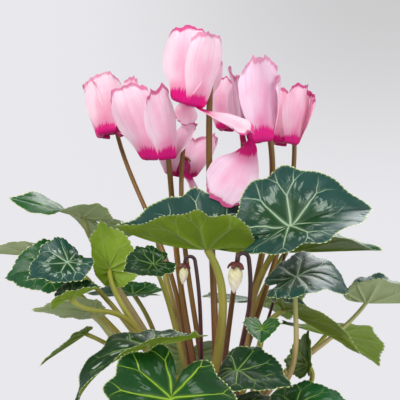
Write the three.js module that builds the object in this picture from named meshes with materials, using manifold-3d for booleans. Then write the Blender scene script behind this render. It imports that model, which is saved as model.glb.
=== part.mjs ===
// A florist's cyclamen in its nursery pot. Millimetres, +Z up. The origin is the centre of the pot's flat
// underside, and -Y is the side that the plant turns to the room. Every petiole and flower stalk rises from the
// crown of a round tuber, which sits half buried in the potting soil. Each leaf is one piece with its petiole,
// each bloom is one piece of five petals round its throat, and each stalk is one piece with its calyx.
import * as THREE from "three";
import { mergeVertices } from "three/addons/utils/BufferGeometryUtils.js";
import Module from "manifold-3d";

const wasm = await Module();
wasm.setup();

// ---------------------------------------------------------------- driving dimensions

const GAP = 0.3; // between pieces that touch
const SLIVER = 0.01; // edges shorter than this are closed up after a join

const POT = { foot: 46, rim: 66, height: 112, collar: 16, step: 2, flare: 1, lip: 0.6, wall: 2, floor: 3,
  sides: 28 };
const DRAIN = { holes: 6, radius: 5, ring: 33, sides: 8 };
const SOIL = { top: 98, lump: 1.3, inset: 0.6, sides: 24, rings: 3 };
const TUBER = { radius: 27, halfHeight: 15, centre: 96, sides: 12 };
const SOCKET = 6; // how deep a stem stands in the tuber

// The outline of a blade is a heart: flank and point are its radius at the sides and what the point adds, notch
// is the depth of the cleft behind the joint, and each spread is half the angle that one takes up, in degrees.
const HEART = { flank: 0.8, point: 0.2, pointSpread: 26, shrink: 0.065, notch: 0.86, notchSpread: 11 };
const BLADE = { thick: 0.8, teeth: 14, tooth: 0.03, corner: 0.04, cornerEvery: 38, crease: 0.06,
  rings: [0.34, 0.68, 1] };
const PETIOLE = { foot: 2, neck: 1.3, sides: 4, steps: 4 };

const PETAL = { thick: 0.7, rows: [0, 0.1, 0.21, 0.48, 0.76, 1], columns: 3, hook: 1.4, bend: 2.1, mouth: 5,
  twistOver: [0.03, 0.5], leanOver: [0.12, 0.6], round: 0.13, ruffle: 1.2, ruffles: 5 };
// Half-width of a petal as a share of its widest: at the mouth, what it gains low down and higher up, and what
// it loses at the tip.
const PETAL_WIDTH = { mouth: 0.17, low: 0.27, high: 0.56, tip: 0.16 };
const THROAT = { radius: 5.9, centre: 3.4, wall: 1.1, mouth: 5.4, segments: 6 };
const STYLE = { radius: 0.9, below: 1.6 };
const CALYX = { thick: 0.9 };
const STALK = { foot: 1.7, neck: 1.2, sides: 5, steps: 4, hook: 5, hookSteps: 4, rise: 1.5, over: 165 };
const BUD = { sides: 5, rings: 5, turn: 60, blunt: 0.04, high: 0.72, full: 0.8 };

// Leaves. at: where the petiole joins the blade. points: the way the midrib runs. faces: the way the upper
// side looks. size: from the joint to the tip, with lobes and broad as shares of the lobes' usual length behind
// the joint and of the blade's usual width. fold and curl: how each half rises from the midrib, and how it goes
// on bending, in degrees (left half, right half). bend: how the midrib arches down towards the tip and towards
// the lobes. twist: how far the blade turns round its midrib by the tip. wave: height, number and phase of the
// ripples. foot: the petiole's bearing and distance on the crown. joint: how far the petiole's last stretch
// rises straight up and runs along the midrib. sway: what its middle is moved by.
const LEAVES = {
  // top layer
  leaf_01: { at: [44, -22, 230.7], points: [0.93, 0.12, 0.36], faces: [0, -0.76, 0.65], size: 51,
    fold: [22, 30], bend: [30, 0], foot: [-15, 12], sway: [-6, 8, 0], stout: 1.3 },
  leaf_02: { at: [-5, -14, 217], points: [-1, -0.05, 0.02], faces: [0, -0.31, 0.95], size: 54,
    fold: [54, 52], bend: [-25, 40], foot: [-107, 5.9], lobes: 0.78, stout: 1.6 },
  leaf_03: { at: [46.6, 80, 212.7], points: [1, 0, 0.02], faces: [0, 0.05, 1], size: 58,
    fold: [25, 14], foot: [55, 14], lobes: 0.75, stout: 1.4 },
  leaf_04: { at: [-79, -10, 236], points: [-0.95, -0.05, 0.25], faces: [0, 0.02, 1], size: 42,
    fold: [15, -10], bend: [0, 30], twist: -50, foot: [172, 13.2], lobes: 0.6, stout: 1.2 },
  // middle layer, right
  leaf_05: { at: [48, -22, 200.7], points: [0.88, -0.1, 0.36], faces: [-0.45, -0.35, 0.82], size: 38,
    fold: [5, 0], bend: [90, 0], foot: [-24, 17], sway: [10, -8, -10], lobes: 0.8 },
  leaf_06: { at: [42.4, 5, 180], points: [0.85, -0.1, -0.5], faces: [0.45, -0.31, 0.88], size: 50,
    fold: [8, 32], bend: [0, 30], twist: -35, foot: [-8, 17], lobes: 0.3, broad: 0.7, stout: 1.2 },
  leaf_07: { at: [95, 46, 182], points: [1, -0.1, 0], faces: [0, -0.3, 0.95], size: 44,
    fold: [14, 48], foot: [24, 19], lobes: 0.5 },
  leaf_08: { at: [55, -14, 148], points: [0.02, 0.3, 0.95], faces: [-0.75, -0.6, 0.2], size: 20,
    fold: [35, 35], foot: [-8, 23], lobes: 0.6 },
  // low, front right
  leaf_09: { at: [46, -38, 127], points: [0.93, -0.2, 0.25], faces: [-0.2, -0.55, 0.8], size: 34,
    fold: [0, 15], bend: [40, 0], foot: [-36, 23.5], broad: 0.85 },
  leaf_10: { at: [12, -58, 149], points: [0.93, -0.3, -0.1], faces: [0.1, -0.55, 0.83], size: 31,
    fold: [8, 8], bend: [20, 80], foot: [-80, 19] },
  leaf_11: { at: [8, -52, 128], points: [0.45, -0.75, -0.35], faces: [0, -0.4, 0.9], size: 32,
    fold: [8, 8], foot: [-58, 22.5], lobes: 0.4 },
  leaf_12: { at: [26.5, -46, 171.5], points: [-0.05, -0.85, -0.35], faces: [0, -0.35, 0.95], size: 17,
    fold: [28, 28], foot: [-57, 16] },
  // low, front left
  leaf_13: { at: [-25, -98, 137], points: [-0.2, -0.7, -0.65], faces: [0.1, -0.8, 0.6], size: 53,
    fold: [0, 12], foot: [-106, 19] },
  leaf_14: { at: [-37, -62, 163], points: [-0.9, -0.35, -0.12], faces: [-0.1, -0.32, 0.93], size: 56,
    fold: [30, -4], bend: [62, 0], foot: [-124, 17], lobes: 0.85, broad: 0.85 },
  leaf_15: { at: [-76, -30, 168], points: [-0.8, -0.1, -0.55], faces: [-0.5, -0.1, 0.85], size: 30,
    fold: [20, 0], foot: [-168, 22.5], lobes: 0.3, broad: 0.75 },
  leaf_16: { at: [-72, -24, 181], points: [-1, 0, 0.02], faces: [0, 0.5, 0.86], size: 34, fold: [6, 4],
    foot: [-156, 21.5], lobes: 0.35, broad: 0.6, stout: 1.3 },
  // left
  leaf_17: { at: [-95, -14, 205], points: [-0.95, -0.2, 0.02], faces: [-0.25, -0.75, 0.6], size: 29,
    fold: [10, 10], bend: [35, 0], foot: [-172, 17] },
  leaf_18: { at: [-85, -44, 210], points: [-0.75, -0.5, -0.4], faces: [0, -0.6, 0.8], size: 27,
    fold: [12, 12], bend: [0, 20], wave: [3, 3, 60], foot: [-152, 17], lobes: 0.7 },
  leaf_19: { at: [-83, -54, 190], points: [0.9, -0.2, 0.35], faces: [0, -0.3, 0.95], size: 18,
    fold: [35, 35], bend: [0, 30], foot: [-141, 21], joint: [0.8, -0.3], sway: [-2, 4, 21] },
  leaf_20: { at: [-62, -22, 205], points: [-0.2, 0.1, 0.97], faces: [0.1, 0.98, 0], size: 28,
    fold: [-5, -40], curl: [0, -70], bend: [0, 60], foot: [-162, 13], lobes: 0.8, stout: 1.1 },
  leaf_21: { at: [-36, -42, 209], points: [-0.7, -0.5, -0.15], faces: [-0.1, -0.75, 0.65], size: 20,
    fold: [12, 12], foot: [-140, 12] },
  leaf_22: { at: [-50, 30, 188], points: [-0.95, 0.15, 0], faces: [0, -0.2, 0.97], size: 28,
    fold: [10, 10], foot: [150, 20] },
  leaf_23: { at: [-106, 22, 212], points: [-1, 0.1, 0.05], faces: [0, 0.2, 1], size: 36,
    fold: [10, 10], foot: [165, 17] },
  // back
  leaf_24: { at: [-36, 74, 222], points: [-0.5, 0.8, 0.2], faces: [-0.15, 0.35, 0.92], size: 50,
    fold: [16, 16], bend: [30, 0], foot: [121, 13.5], lobes: 0.7, stout: 1.3 },
  leaf_25: { at: [26, 98, 180], points: [0.45, 0.88, 0.05], faces: [0.1, 0.45, 0.88], size: 52,
    fold: [14, 14], bend: [35, 0], foot: [71, 18], lobes: 0.7 },
  leaf_26: { at: [72, 76, 160], points: [0.8, 0.55, -0.2], faces: [0.35, 0.3, 0.88], size: 46,
    fold: [12, 12], bend: [30, 0], foot: [44, 21] },
  leaf_27: { at: [-16, 76, 146], points: [-0.1, 0.9, -0.35], faces: [0, 0.5, 0.86], size: 46,
    fold: [12, 12], bend: [25, 0], foot: [98, 21], broad: 0.85 },
};

// Blooms. at: the centre of the mouth, which looks down. axis: from the mouth to the calyx. petals: bearing
// round the axis, rise of the petal after its turn, how it goes on bending, sideways lean, twist (degrees),
// length, width and cup. stalk: bearing of the hook, and its foot on the crown.
const BLOOMS = {
  1: { at: [-15, -12, 304.5], axis: [0.27, -0.1, 0.96], hook: 26, foot: [60, 1], sway: [0, 14, 0],
    stout: 1.3,
    petals: [
      [-134, 84, 14, -22, 15, 53, 33, 30],
      [-66, 84, 10, -3, 17, 51, 28, 30],
      [-28, -12, 10, -6, 12, 44, 22, 30],
      [66, 62, 16, 8, 20, 40, 20, 30],
      [98, -60, -10, -10, 20, 18, 15, 30],
    ] },
  2: { at: [-33.3, 0, 272.6], axis: [-0.05, -0.1, 1], hook: 68, foot: [190, 6], sway: [-3, 8, 0],
    stout: 1.2,
    petals: [
      [-130, 70, 14, -16, 16, 54, 32, 30],
      [-60, 76, 12, -14, 16, 51, 27, 30],
      [14, 50, 12, -4, 20, 31, 20, 30],
      [114, 68, 15, 8, 20, 48, 22, 30],
      [170, 66, 15, 0, 20, 48, 25, 30],
    ] },
  3: { at: [-63.7, 40, 288], axis: [-0.1, 0.2, 0.97], hook: 80, foot: [155, 9.5], sway: [10, -8, 0],
    petals: [
      [-110, 88, 6, 2, 12, 45, 26, 30],
      [-30, -10, -30, 0, 30, 28, 22, 30],
      [32, 74, 12, -12, 20, 44, 18, 30],
      [128, 74, 12, 12, 20, 44, 18, 30],
      [188, 80, 12, 0, 20, 42, 22, 30],
    ] },
  4: { at: [25.5, 4, 282.5], axis: [-0.1, 0, 0.99], hook: 48, foot: [-8, 7], sway: [-3, 10, 0],
    stout: 1.3,
    petals: [
      [-68, 78, 12, 2, 15, 57, 31, 30],
      [-144, -60, 8, -16, -40, 45, 33, 20],
      [0, 74, 12, -8, 20, 46, 20, 30],
      [96, 74, 12, 8, 20, 50, 20, 30],
      [156, 80, 10, 0, 20, 54, 24, 30],
    ] },
  5: { at: [42.6, 34, 282.5], axis: [0.08, 0.1, 1], hook: 54, foot: [31, 8.7],
    petals: [
      [-127, 76, 15, 0, 15, 40, 24, 30],
      [-55, 74, 10, 0, 15, 43, 26, 30],
      [6, 72, 12, -12, 20, 40, 19, 30],
      [102, 72, 12, 12, 20, 40, 19, 30],
      [166, 72, 15, 0, 20, 40, 24, 30],
    ] },
  6: { at: [-21, 27, 263], axis: [0.1, 0.1, 1], hook: -88, hookRadius: 6.5, foot: [120, 7],
    petals: [
      [-136, 74, 10, -6, 15, 29, 17, 30],
      [-40, -62, 8, 0, -20, 25, 22, 20],
      [22, 64, 12, 0, 20, 36, 22, 30],
      [90, 72, 15, 0, 20, 34, 22, 30],
      [158, 72, 15, 0, 20, 32, 22, 30],
    ] },
  7: { at: [11, 47, 292], axis: [0, 0.1, 1], hook: 60, foot: [72, 8],
    petals: [
      [-130, 76, 15, 0, 15, 38, 22, 30],
      [-58, 76, 15, 0, 15, 38, 22, 30],
      [12, 74, 12, -12, 20, 38, 18, 30],
      [108, 74, 12, 12, 20, 38, 18, 30],
      [168, 74, 15, 0, 20, 38, 22, 30],
    ] },
};

// Furled buds. at: the top of the bud, under its calyx. axis: from the tip of the bud to its calyx.
const BUDS = {
  1: { at: [12, -46, 209], axis: [0.1, 0, 1], hook: 30, hookRadius: 4, length: 17, radius: 4.2, stout: 0.9,
    foot: [-58, 9.4] },
  2: { at: [-18, -42, 208], axis: [0.1, 0, 1], hook: -10, hookRadius: 3, length: 11, radius: 2.6, stout: 0.8,
    foot: [-118, 10.7] },
  3: { at: [35.7, 38, 256], axis: [0.2, 0, 1], hook: 0, hookRadius: 5, length: 7, radius: 1.8, stout: 0.6,
    foot: [36, 13.6] },
};

// ---------------------------------------------------------------- small helpers

const { degToRad: rad, smoothstep } = THREE.MathUtils;
const vec = (list) => new THREE.Vector3(...list);
const level = (bearing) => new THREE.Vector3(Math.cos(rad(bearing)), Math.sin(rad(bearing)), 0);
const UP = vec([0, 0, 1]);

/** A point that is the sum of an origin and weighted directions. */
function along(origin, ...terms) {
  const point = origin.clone();
  for (const [direction, amount] of terms) point.addScaledVector(direction, amount);
  return point;
}

/** Run and drop of an arc of curvature k after a length x. */
function arc(k, x) {
  return Math.abs(k) < 1e-6 ? [x, 0] : [Math.sin(k * x) / k, (1 - Math.cos(k * x)) / k];
}

function geometry(points, triangles) {
  const shape = new THREE.BufferGeometry();
  shape.setAttribute("position", new THREE.Float32BufferAttribute(points.flatMap((p) => p.toArray()), 3));
  shape.setIndex(triangles.flat());
  return shape;
}

/** A closed body from a middle surface: both faces carry the same triangles, and the border loop is walled. */
function thicken(points, triangles, border, thickness) {
  const middle = geometry(points, triangles);
  middle.computeVertexNormals();
  const normals = points.map((_, i) => new THREE.Vector3().fromBufferAttribute(middle.attributes.normal, i));
  const count = points.length;
  const upper = points.map((p, i) => along(p, [normals[i], thickness / 2]));
  const lower = points.map((p, i) => along(p, [normals[i], -thickness / 2]));
  const faces = [...triangles];
  for (const [a, b, c] of triangles) faces.push([a + count, c + count, b + count]);
  border.forEach((a, i) => {
    const b = border[(i + 1) % border.length];
    faces.push([a, a + count, b + count], [a, b + count, b]);
  });
  return geometry([...upper, ...lower], faces);
}

/** A closed tube along points, with a radius for each point and frames carried without twist. */
function sweep(path, radii, sides) {
  const points = [];
  const faces = [];
  let across = null;
  path.forEach((here, i) => {
    const tangent = path[Math.min(i + 1, path.length - 1)].clone().sub(path[Math.max(i - 1, 0)]).normalize();
    if (!across) across = vec(Math.abs(tangent.x) < 0.8 ? [1, 0, 0] : [0, 1, 0]);
    across = along(across, [tangent, -across.dot(tangent)]).normalize();
    const other = tangent.clone().cross(across);
    for (let j = 0; j < sides; j++) {
      const turn = (2 * Math.PI * j) / sides;
      points.push(along(here, [across, radii[i] * Math.cos(turn)], [other, radii[i] * Math.sin(turn)]));
    }
  });
  for (let i = 0; i + 1 < path.length; i++) {
    for (let j = 0; j < sides; j++) {
      const [a, b] = [i * sides + j, i * sides + ((j + 1) % sides)];
      faces.push([a, b, b + sides], [a, b + sides, a + sides]);
    }
  }
  const last = (path.length - 1) * sides;
  for (let j = 1; j + 1 < sides; j++) {
    faces.push([0, j + 1, j], [last, last + j, last + j + 1]);
  }
  return geometry(points, faces);
}

/** The solid of a closed geometry, for joining and cutting. */
function solid(shape) {
  const bare = new THREE.BufferGeometry();
  bare.setAttribute("position", shape.getAttribute("position").clone());
  if (shape.index) bare.setIndex(shape.index.clone());
  const merged = mergeVertices(bare, 1e-4);
  return new wasm.Manifold(new wasm.Mesh({
    numProp: 3,
    vertProperties: new Float32Array(merged.attributes.position.array),
    triVerts: new Uint32Array(merged.index.array),
  }));
}

function shapeOf(body) {
  const mesh = body.getMesh();
  const shape = new THREE.BufferGeometry();
  shape.setAttribute("position", new THREE.BufferAttribute(new Float32Array(mesh.vertProperties), 3));
  shape.setIndex(new THREE.BufferAttribute(new Uint32Array(mesh.triVerts), 1));
  return shape;
}

/** One body from several closed geometries, without the slivers and loose crumbs that joining leaves. */
function fuse(shapes) {
  const joined = shapes.map(solid).reduce((all, next) => all.add(next)).simplify(SLIVER);
  return joined.decompose().reduce((most, piece) => (piece.volume() > most.volume() ? piece : most));
}

// ---------------------------------------------------------------- stems

/** Where a stem stands on the crown: the point on the tuber's skin and the way the stem leaves it. */
function crown([bearing, distance]) {
  const share = distance / TUBER.radius;
  const height = TUBER.centre + TUBER.halfHeight * Math.sqrt(1 - share * share);
  const skin = along(vec([0, 0, height]), [level(bearing), distance]);
  return { skin, leaves: along(UP, [level(bearing), 0.75 * share]).normalize() };
}

/** Points on a cubic curve from a foot to a head; sway is how far its middle is pushed aside. */
function reach(foot, footWay, head, headWay, steps, { lift = 0.4, drop = 0.35, sway = [0, 0, 0] } = {}) {
  const span = foot.distanceTo(head);
  const curve = new THREE.CubicBezierCurve3(
    foot, along(foot, [footWay, lift * span]), along(head, [headWay, -drop * span]), head);
  return curve.getPoints(steps).map((p, i) => {
    const s = i / steps;
    return along(p, [vec(sway), 16 * s * s * (1 - s) * (1 - s)]);
  });
}

/** Puts the buried end in front of a stem's points. */
function rooted({ skin, leaves }, points) {
  return [along(skin, [leaves, GAP - SOCKET]), ...points];
}

const taper = (count, foot, neck) =>
  Array.from({ length: count }, (_, i) => foot + (neck - foot) * (i / (count - 1)));

// ---------------------------------------------------------------- leaves

/** Distance from the joint to the margin, as a share of the leaf's size: a heart with a deep notch behind. */
function margin(theta) {
  const degrees = Math.abs(THREE.MathUtils.radToDeg(theta));
  const hump = (angle, spread) => Math.exp(-((angle / spread) ** 2));
  const point = HEART.point * hump(degrees, HEART.pointSpread);
  const heart = HEART.flank + point - HEART.shrink * (1 - Math.cos(theta));
  const notch = 1 - HEART.notch * hump(180 - degrees, HEART.notchSpread);
  return heart * notch * (1 + BLADE.corner * Math.cos((theta * 360) / BLADE.cornerEvery));
}

function bladeFrame({ points, faces }) {
  const run = vec(points).normalize();
  const face = vec(faces);
  const out = along(face, [run, -face.dot(run)]).normalize();
  return { run, out, left: out.clone().cross(run) };
}

/** A point of the blade: flat heart, then folded along the midrib, rippled, twisted and arched. */
function bladePoint(leaf, share, theta) {
  const { size, fold, curl = [0, 0], bend = [0, 0], twist = 0, wave = [0, 3, 0], lobes = 1, broad = 1 } = leaf;
  const { run, out, left } = bladeFrame(leaf);
  const radius = share * size * margin(theta);
  const x = radius * Math.cos(theta) * (Math.cos(theta) < 0 ? lobes : 1);
  const y = radius * Math.sin(theta) * broad;
  const half = y >= 0 ? 0 : 1;
  const soft = BLADE.crease * size;
  const width = Math.hypot(y, soft) - soft;
  const [flat, rise] = arc(rad(curl[half]) / (0.8 * size), width);
  const [c, s] = [Math.cos(rad(fold[half])), Math.sin(rad(fold[half]))];
  let across = (flat * c - rise * s) * (half ? -1 : 1);
  let up = flat * s + rise * c + wave[0] * share * share * Math.sin(wave[1] * theta + rad(wave[2]));
  const turn = (rad(twist) * x) / size;
  [across, up] = [across * Math.cos(turn) - up * Math.sin(turn), across * Math.sin(turn) + up * Math.cos(turn)];
  const k = x > 0 ? rad(bend[0]) / size : rad(bend[1]) / (0.6 * size);
  const [forward, fall] = arc(k, x);
  return along(vec(leaf.at), [run, forward + up * Math.sin(k * x)], [left, across],
    [out, up * Math.cos(k * x) - fall]);
}

/** Rings of points round the joint, each with twice the points of the one inside it. */
function blade(leaf) {
  const counts = [BLADE.teeth / 2, BLADE.teeth, 2 * BLADE.teeth];
  const points = [bladePoint(leaf, 0, 0)];
  const faces = [];
  counts.forEach((count, ring) => {
    const start = points.length;
    const inner = start - count / 2;
    for (let i = 0; i < count; i++) {
      const tooth = ring === 2 ? 1 + BLADE.tooth * (i % 2 ? -1 : 1) : 1;
      const theta = (2 * Math.PI * (i > count / 2 ? i - count : i)) / count;
      points.push(bladePoint(leaf, BLADE.rings[ring] * tooth, theta));
      const next = start + ((i + 1) % count);
      if (ring === 0) {
        faces.push([0, start + i, next]);
      } else if (i % 2 === 0) {
        const [a, b] = [inner + i / 2, inner + ((i / 2 + 1) % (count / 2))];
        faces.push([a, start + i, next], [a, next, b], [b, next, start + ((i + 2) % count)]);
      }
    }
  });
  const edge = points.length - counts[2];
  const border = Array.from({ length: counts[2] }, (_, i) => edge + i);
  return thicken(points, faces, border, BLADE.thick);
}

function petiolePath(leaf) {
  const root = crown(leaf.foot);
  const { run, out } = bladeFrame(leaf);
  const neck = along(vec(leaf.at), [out, -0.1 * BLADE.thick]);
  const [rise, forth] = leaf.joint ?? [0.7, 0.5];
  const headWay = along(out.clone().multiplyScalar(rise), [run, forth]).normalize();
  return rooted(root, reach(root.skin, root.leaves, neck, headWay, PETIOLE.steps, leaf));
}

function leafShape(leaf) {
  const path = petiolePath(leaf);
  const stout = leaf.stout ?? 1;
  const stem = sweep(path, taper(path.length, PETIOLE.foot * stout, PETIOLE.neck * stout), PETIOLE.sides);
  return fuse([blade(leaf), stem]);
}

// ---------------------------------------------------------------- blooms

function bloomFrame({ axis }) {
  const up = vec(axis).normalize();
  const right = along(vec([1, 0, 0]), [up, -up.x]).normalize();
  return { up, right, back: up.clone().cross(right) };
}

const bearingIn = ({ right, back }, bearing) =>
  along(right.clone().multiplyScalar(Math.cos(rad(bearing))), [back, Math.sin(rad(bearing))]);

/** The middle line of a petal: down inside the mouth, a tight turn outwards, then up in an open bow. */
function petalSpine(bloom, [bearing, rise, bow, lean, twist, length]) {
  const frame = bloomFrame(bloom);
  const out = bearingIn(frame, bearing);
  const side = frame.up.clone().cross(out);
  const turn = PETAL.hook + PETAL.bend * (rad(rise) + Math.PI / 2);
  const steps = 60;
  const spine = [];
  let here = along(vec(bloom.at), [out, PETAL.mouth], [frame.up, PETAL.hook]);
  let before = null;
  for (let i = 0; i <= steps; i++) {
    const gone = (i / steps) * length;
    let climb = -Math.PI / 2;
    if (gone > PETAL.hook) climb += (Math.min(gone, turn) - PETAL.hook) / PETAL.bend;
    if (gone > turn) climb += rad(bow) * ((gone - turn) / (length - turn));
    const aside = rad(lean) * smoothstep(i / steps, ...PETAL.leanOver);
    const way = out.clone().multiplyScalar(Math.cos(climb) * Math.cos(aside))
      .addScaledVector(frame.up, Math.sin(climb) * Math.cos(aside))
      .addScaledVector(side, Math.sin(aside));
    if (before) here = along(here, [before, length / steps / 2], [way, length / steps / 2]);
    const flat = along(side, [way, -side.dot(way)]).normalize();
    const normal = way.clone().cross(flat);
    const roll = rad(twist) * smoothstep(i / steps, ...PETAL.twistOver);
    const across = along(flat.clone().multiplyScalar(Math.cos(roll)), [normal, Math.sin(roll)]);
    spine.push({ here, across, normal: way.clone().cross(across) });
    before = way;
  }
  return spine;
}

/** A point of a petal: s runs from the mouth to the tip, t from one edge (-1) to the other (1). */
function petalPoint(spine, petal, s, t) {
  const [bearing, , , , , , width, cup] = petal;
  const place = s * (1 - PETAL.round * Math.abs(t) ** 3) * (spine.length - 1);
  const low = Math.min(Math.floor(place), spine.length - 2);
  const [a, b, mix] = [spine[low], spine[low + 1], place - low];
  const { mouth, low: lower, high: upper, tip } = PETAL_WIDTH;
  const half = (width / 2) * (mouth + lower * smoothstep(s, 0, 0.2) + upper * smoothstep(s, 0.1, 0.7))
    * (1 - tip * smoothstep(s, 0.8, 1));
  const k = rad(cup) * smoothstep(s, 0.1, 0.5) / half;
  const [across, up] = arc(k, half * t);
  const ruffle = PETAL.ruffle * smoothstep(s, 0.6, 1) * Math.sin(PETAL.ruffles * t + bearing * 0.37);
  return a.here.clone().lerp(b.here, mix)
    .addScaledVector(a.across.clone().lerp(b.across, mix), across)
    .addScaledVector(a.normal.clone().lerp(b.normal, mix), up + ruffle);
}

function petalShape(bloom, petal) {
  const spine = petalSpine(bloom, petal);
  const { rows, columns } = PETAL;
  const points = [];
  const faces = [];
  for (const s of rows) {
    for (let j = 0; j <= columns; j++) points.push(petalPoint(spine, petal, s, (2 * j) / columns - 1));
  }
  const last = rows.length - 1;
  const at = (i, j) => i * (columns + 1) + j;
  for (let i = 0; i < last; i++) {
    for (let j = 0; j < columns; j++) {
      faces.push([at(i, j), at(i + 1, j), at(i + 1, j + 1)], [at(i, j), at(i + 1, j + 1), at(i, j + 1)]);
    }
  }
  const border = [];
  for (let i = 0; i < last; i++) border.push(at(i, 0));
  for (let j = 0; j < columns; j++) border.push(at(last, j));
  for (let i = last; i > 0; i--) border.push(at(i, columns));
  for (let j = columns; j > 0; j--) border.push(at(0, j));
  return thicken(points, faces, border, PETAL.thick);
}

/** The short round tube behind the mouth, open below, with the style standing in it. */
function throatShape(bloom) {
  const { radius, centre, wall, mouth, segments } = THROAT;
  const top = centre + radius;
  const profile = [[0, top], [0.8 * radius, top - 0.4 * radius], [radius, centre - 0.6], [mouth, 0],
    [mouth - wall, 0], [STYLE.radius, centre + STYLE.below], [0, -STYLE.below]];
  const shape = new THREE.LatheGeometry(profile.map(([r, z]) => new THREE.Vector2(r, z)).reverse(), segments);
  const frame = bloomFrame(bloom);
  // the lathe turns about its own Y axis, which is laid along the bloom's axis
  const place = new THREE.Matrix4().makeBasis(frame.right, frame.up, frame.back.clone().negate());
  return shape.applyMatrix4(place.setPosition(vec(bloom.at)));
}

const bloomShape = (bloom) => fuse([throatShape(bloom), ...bloom.petals.map((p) => petalShape(bloom, p))]);

/** The ball whose top the calyx lies on: its centre along the axis and its radius. */
const bloomDome = () => ({ centre: THROAT.centre, radius: THROAT.radius + 0.2, notch: 28, tip: 58 });
const budDome = ({ radius }) => ({ centre: 0.3 - radius, radius: radius + 0.2, notch: 44, tip: 78 });

/** Five sepals that lie on a dome, joined at its top. */
function calyxShape(flower, dome) {
  const frame = bloomFrame(flower);
  const middle = along(vec(flower.at), [frame.up, dome.centre]);
  const radius = dome.radius + GAP + CALYX.thick / 2;
  const onDome = (polar, bearing) => along(middle, [frame.up, radius * Math.cos(rad(polar))],
    [bearingIn(frame, bearing), radius * Math.sin(rad(polar))]);
  const points = [onDome(0, 0)];
  const faces = [];
  for (let i = 0; i < 5; i++) points.push(onDome(dome.tip / 2, flower.hook + 72 * i));
  for (let i = 0; i < 10; i++) points.push(onDome(i % 2 ? dome.notch : dome.tip, flower.hook + 36 * i));
  for (let i = 0; i < 5; i++) {
    const next = (i + 1) % 5;
    const [tip, notch, nextTip] = [6 + 2 * i, 7 + 2 * i, 6 + 2 * next];
    faces.push([0, 1 + i, 1 + next], [1 + i, tip, notch], [1 + i, notch, 1 + next], [1 + next, notch, nextTip]);
  }
  return thicken(points, faces, Array.from({ length: 10 }, (_, i) => 6 + i), CALYX.thick);
}

/** A stalk: up from the tuber, over in a hook, and down onto the calyx. */
function stalkPath(flower, dome) {
  const frame = bloomFrame(flower);
  const root = crown(flower.foot);
  const aside = bearingIn(frame, flower.hook);
  const radius = flower.hookRadius ?? STALK.hook;
  const seat = along(vec(flower.at), [frame.up, dome.centre + dome.radius + GAP + CALYX.thick / 2]);
  const centre = along(seat, [frame.up, STALK.rise], [aside, radius]);
  const over = [];
  for (let i = 0; i <= STALK.hookSteps; i++) {
    const turn = rad(STALK.over) * (i / STALK.hookSteps);
    over.push(along(centre, [aside, -radius * Math.cos(turn)], [frame.up, radius * Math.sin(turn)]));
  }
  const end = over[over.length - 1];
  const endTurn = rad(STALK.over);
  const headWay = frame.up.clone().multiplyScalar(-Math.cos(endTurn)).addScaledVector(aside, -Math.sin(endTurn));
  const leg = reach(root.skin, root.leaves, end, headWay, STALK.steps, flower);
  return rooted(root, [...leg.slice(0, -1), ...over.reverse(), seat]);
}

function stalkShape(flower, dome) {
  const path = stalkPath(flower, dome);
  const stout = flower.stout ?? 1;
  const radii = taper(path.length, STALK.foot * stout, STALK.neck * stout);
  return fuse([calyxShape(flower, dome), sweep(path, radii, STALK.sides)]);
}

/** A furled bud: a twisted spindle that hangs under its calyx. */
function budShape(bud) {
  const frame = bloomFrame(bud);
  const { rings, sides, turn, blunt, high, full } = BUD;
  const points = [];
  const faces = [];
  for (let i = 0; i <= rings; i++) {
    const s = blunt + ((1 - 2 * blunt) * i) / rings;
    const wide = bud.radius * Math.sin(Math.PI * s ** high) ** full;
    for (let j = 0; j < sides; j++) {
      const bearing = (360 * j) / sides + turn * s;
      points.push(along(vec(bud.at), [frame.up, -bud.length * s], [bearingIn(frame, bearing), wide]));
    }
  }
  for (let i = 0; i < rings; i++) {
    for (let j = 0; j < sides; j++) {
      const [a, b] = [i * sides + j, i * sides + ((j + 1) % sides)];
      faces.push([a, a + sides, b + sides], [a, b + sides, b]);
    }
  }
  const last = rings * sides;
  for (let j = 1; j + 1 < sides; j++) faces.push([0, j, j + 1], [last, last + j + 1, last + j]);
  return geometry(points, faces);
}

// ---------------------------------------------------------------- pot, soil and tuber

/** A closed turned body from its profile, which runs from the axis at the bottom round to the axis at the top. */
function turned(profile, sides) {
  const shape = new THREE.LatheGeometry(profile.map(([r, z]) => new THREE.Vector2(r, z)), sides);
  return shape.rotateX(Math.PI / 2);
}

/** Outer radius of the pot's wall at a height below the collar. */
const potRadius = (z) => POT.foot + (POT.rim - POT.step - POT.foot) * (z / (POT.height - POT.collar));

function potShape() {
  const { foot, rim, height, collar, step, flare, lip, wall, floor, sides } = POT;
  const shoulder = height - collar;
  const edge = rim + flare;
  let body = solid(turned([[0, 0], [foot, 0], [rim - step, shoulder], [rim, shoulder + 1],
    [edge, height - 1], [edge - lip, height], [edge - wall, height], [rim - wall, shoulder + 1],
    [potRadius(shoulder) - wall, shoulder - 1], [potRadius(floor) - wall, floor], [0, floor]], sides));
  for (let i = 0; i < DRAIN.holes; i++) {
    const hole = new THREE.CylinderGeometry(DRAIN.radius, DRAIN.radius, 3 * floor, DRAIN.sides);
    hole.rotateX(Math.PI / 2);
    const place = level((360 * i) / DRAIN.holes).multiplyScalar(DRAIN.ring);
    body = body.subtract(solid(hole.translate(place.x, place.y, floor / 2)));
  }
  return body;
}

/** Height of the soil's crumbly top over a point. */
function soilHeight(x, y) {
  const lumps = Math.sin(0.31 * x + 0.9) * Math.sin(0.27 * y + 2.1) + 0.5 * Math.sin(0.53 * x - 0.47 * y);
  return SOIL.top + SOIL.lump * lumps;
}

function tuberBall(clearance) {
  const ball = new THREE.SphereGeometry(1, TUBER.sides, TUBER.sides / 2);
  ball.rotateX(Math.PI / 2);
  ball.scale(TUBER.radius + clearance, TUBER.radius + clearance, TUBER.halfHeight + clearance);
  return solid(ball.translate(0, 0, TUBER.centre));
}

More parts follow.
